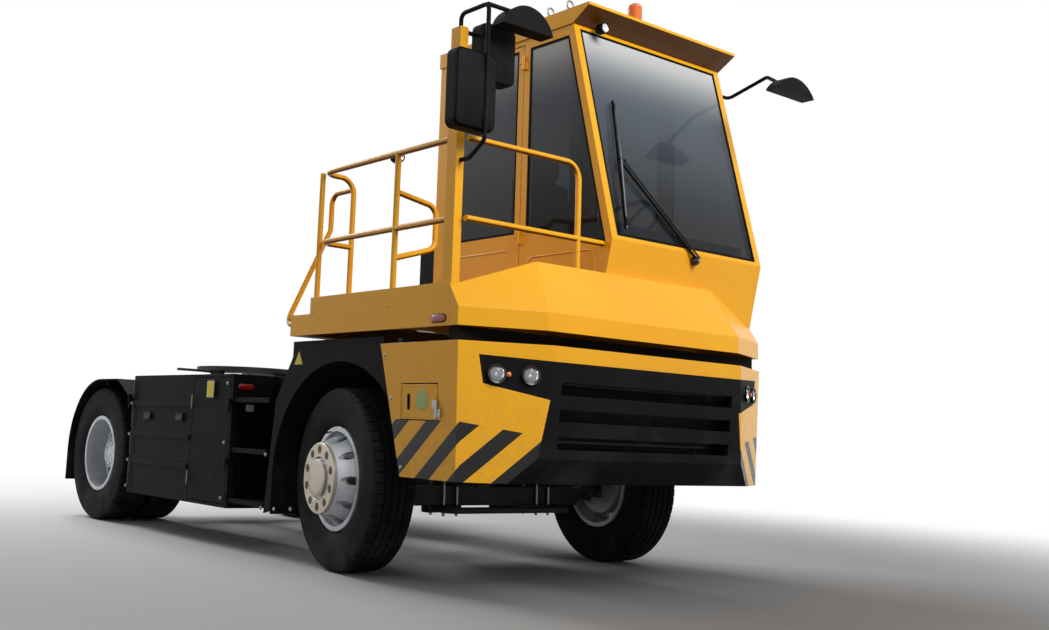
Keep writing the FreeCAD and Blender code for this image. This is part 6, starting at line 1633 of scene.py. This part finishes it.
def hazardStripes(finish):
    # run = distance round the panel's corner; a stripe is where run - slope * height falls in its share
    care = stripeCare
    height = finish.along(2)
    lean = (care["top"] - height) * care["lean"]
    aside = (care["cornerY"] - finish.along(1)).lowest(0.0)
    around = aside + (care["halfWidth"] - lean - finish.along(0).size()) / care["facetCos"]
    phase = (around - (height - care["level"]) * care["slope"] - care["start"]) / care["pitch"]
    band = phase.share() < care["share"]
    head = (care["headZ"] - around.highest(0.0) * care["headFall"]) - height
    return band * (head > 0.0)


finishes = {
    "amber": amberPaint(),
    "striped": amberPaint("stripedPaint", hazardStripes),
    "graphite": graphitePaint(),
    "cast": castSteel(),
    "tyre": tyreRubber(),
    "silver": wheelSilver(),
    "bronze": wheelSilver("nutBronze", "bronze"),
    "glass": windowGlass(),
    "plastic": grainedPlastic(),
    "clear": polished("lampClear", "lamp_lens", (225, 228, 230), 0.06),
    "red": lensPlastic("redLens", "red_lens", (168, 16, 12), (96, 6, 6)),
    "amberLens": lensPlastic("amberLens", "amber_lens", (236, 120, 8), (190, 76, 4)),
    "cloth": seatCloth(),
    "rod": brightRod(),
    "mirror": mirrorSilver(),
    "chrome": polished("lampBowl", "bright_steel", (232, 234, 236), 0.08, 1.0),
    "gloss": polished("glossBlack", "dark_plastic", (16, 16, 18), 0.16),
    "steel": polished("plainSteel", "bright_steel", (150, 150, 148), 0.34, 0.9),
    "lens": clearLens(),
    # near-black for hollows, gaps and the dark behind the nose: painted shade
    "void": polished("deepBlack", "dark_plastic", (6, 6, 7), 0.7),
    # dark steel for the nuts in the cover's holes, darkened further as painted shade of the holes
    "dark": polished("darkSteel", "cast_metal", (52, 44, 36), 0.4, 0.6),
    "rubber": grainedPlastic("blackRubber", "tyre_rubber", (14, 14, 15), 0.62),
    "greenLabel": polished("greenLabel", "body_paint", (160, 176, 96), 0.4),
    "yellowLabel": polished("yellowLabel", "body_paint", (226, 196, 30), 0.4),
    "whiteLabel": polished("whiteLabel", "body_paint", (214, 218, 222), 0.4),
}
nodeFinish = {
    "amber": "hood cab_shell cab_roof door_right platform mirror_post handrails access_door",
    "striped": "fascia",
    "graphite": "chassis_frame fuel_tank lift_boom steps_right side_box side_box_door rear_box "
                "radiator lift_barrels",
    "plastic": "grille wheel_arches rear_mudguards mirror_left mirror_right wiper dashboard "
               "seat_base steering_wheel",
    "cast": "front_axle front_springs rear_axle propshaft engine_block knuckle_left knuckle_right "
            "tie_rod fifth_wheel_plate",
    "rod": "lift_rods",
    "glass": "cab_glass door_right_glass",
    "tyre": "front_tyre_left front_tyre_right rear_tyres_left rear_tyres_right",
    "silver": "front_rim_left front_rim_right rear_rims_left rear_rims_right",
    "clear": "headlamps work_lamps",
    "red": "tail_lamps side_markers",
    "amberLens": "beacon",
    "cloth": "seat",
}
for finishName, names in nodeFinish.items():
    for name in names.split():
        mesh = cadNodes[name].data
        mesh.materials.clear()
        mesh.materials.append(finishes[finishName]["material"])
print("finishes set on the CAD nodes")

for side in ("left", "right"):
    for place in ("front", "rear"):
        dressWheel(side, place)
print("wheels dressed")

dressHeadLamps()
dressSideMarkers()
dressAccessDoor()
dressNose()
dressCooler()
print("nose dressed")

dressWindows()
dressCabSide()
dressRoof()
dressWiper()
dressSeat()
print("cab dressed")

dressMirrors()
dressDeck()
dressWorkLamps()
print("platform dressed")

dressSideBox()
dressLabels()
dressTank()
dressSprings()
dressRearAxle()
dressTailLamps()
dressFront()
print("chassis dressed")

# studio: floor, lamps and camera

studioCare = {
    "floorReach": 60.0,
    "floorColour": shade(236, 237, 238),
    "fadeStart": 3.6,
    "fadeEnd": 8.8,
    "worldStrength": 0.22,
}
lampPlans = {
    "keyLamp": {"place": (0.0, -9.0, 6.5), "target": (0, -1.0, 1.6), "size": (5.0, 4.0), "power": 700.0},
    "fillLamp": {"place": (-9.0, -2.0, 4.0), "target": (0, 0, 1.4), "size": (6.0, 4.0), "power": 14.0},
    "rimLamp": {"place": (-1.5, 7.5, 6.5), "target": (0.5, -1.0, 0.5), "size": (6.0, 4.0),
                "power": 560.0},
}


def plainFloor():
    # a level sheet whose cover falls from 1 to 0 between two distances from the middle
    care = studioCare
    across = np.linspace(-care["floorReach"], care["floorReach"], 9)
    x, y = np.meshgrid(across, across, indexing="ij")
    points, faces = gridShape(np.stack([x, y, np.full_like(x, -0.001)], -1))
    mesh = bpy.data.meshes.new("studioFloor")
    mesh.from_pydata(points.tolist(), [], faces.tolist())
    floor = bpy.data.objects.new("studioFloor", mesh)
    bpy.context.scene.collection.objects.link(floor)
    finish = Finish("studioFloor")
    east, north = finish.along(0), finish.along(1)
    away = (east * east + north * north).maths("SQRT")
    finish.feed(finish.shader.inputs["Alpha"], 1 - away.smooth(care["fadeStart"], care["fadeEnd"]))
    finish.close(care["floorColour"], 0.6, Specular_IOR_Level=0.0)
    mesh.materials.append(finish.material)
    return floor


def softLamp(name, place, target, size, power, spared=None):
    # a soft rectangular lamp; what it spares stays unlit by it
    lamp = bpy.data.lights.new(name, "AREA")
    lamp.shape = "RECTANGLE"
    lamp.size, lamp.size_y = size
    lamp.energy = power
    holder = bpy.data.objects.new(name, lamp)
    holder.location = place
    holder.rotation_euler = (Vector(target) - Vector(place)).to_track_quat("-Z", "Y").to_euler()
    bpy.context.scene.collection.objects.link(holder)
    if spared is not None:
        apart = bpy.data.collections.new(name + "Spared")
        apart.objects.link(spared)
        apart.collection_objects[0].light_linking.link_state = "EXCLUDE"
        holder.light_linking.receiver_collection = apart


def paleWorld():
    # white to the camera, to glass and to gloss, and a low even light on everything else
    world = bpy.data.worlds.new("paleWorld")
    bpy.context.scene.world = world
    world.use_nodes = True
    sky = ShaderTree(world.node_tree)
    seen = sky.node("ShaderNodeLightPath", {}, {}, "Is Camera Ray")
    for ray in ("Is Glossy Ray", "Is Transmission Ray"):
        seen = seen.highest(sky.node("ShaderNodeLightPath", {}, {}, ray))
    background = world.node_tree.nodes["Background"]
    background.inputs["Color"].default_value = (1, 1, 1, 1)
    low = studioCare["worldStrength"]
    sky.feed(background.inputs["Strength"], seen * (1 - low) + low)


# angles in radians, the lens in millimetres, the shifts as shares of the picture's width
cameraCare = {"place": (-5.0033, -6.9291, 0.8350), "yaw": 0.6395, "pitch": 0.1402, "roll": 0.0448,
              "lens": 39.56, "shiftX": 0.1206, "shiftY": -0.0472}


def lookFromFront():
    # turns the camera by yaw about Z, then by pitch and roll
    yaw, pitch, roll = (cameraCare[part] for part in ("yaw", "pitch", "roll"))
    ahead = Vector((math.sin(yaw) * math.cos(pitch), math.cos(yaw) * math.cos(pitch), math.sin(pitch)))
    level = Vector((math.cos(yaw), -math.sin(yaw), 0))
    above = level.cross(ahead)
    right = level * math.cos(roll) + above * math.sin(roll)
    up = above * math.cos(roll) - level * math.sin(roll)
    lens = bpy.data.cameras.new("camera")
    lens.sensor_fit = "HORIZONTAL"
    lens.sensor_width = 36.0
    lens.lens = cameraCare["lens"]
    lens.shift_x = cameraCare["shiftX"]
    lens.shift_y = cameraCare["shiftY"]
    lens.clip_end = 300.0
    camera = bpy.data.objects.new("camera", lens)
    turn = Matrix((right, up, -ahead)).transposed().to_4x4()
    camera.matrix_world = Matrix.Translation(cameraCare["place"]) @ turn
    bpy.context.scene.collection.objects.link(camera)
    bpy.context.scene.camera = camera


studioFloor = plainFloor()
paleWorld()
for name, plan in lampPlans.items():
    softLamp(name, **plan, spared=studioFloor if name == "keyLamp" else None)
lookFromFront()
bpy.context.scene.view_settings.view_transform = "Standard"
print("studio ready")
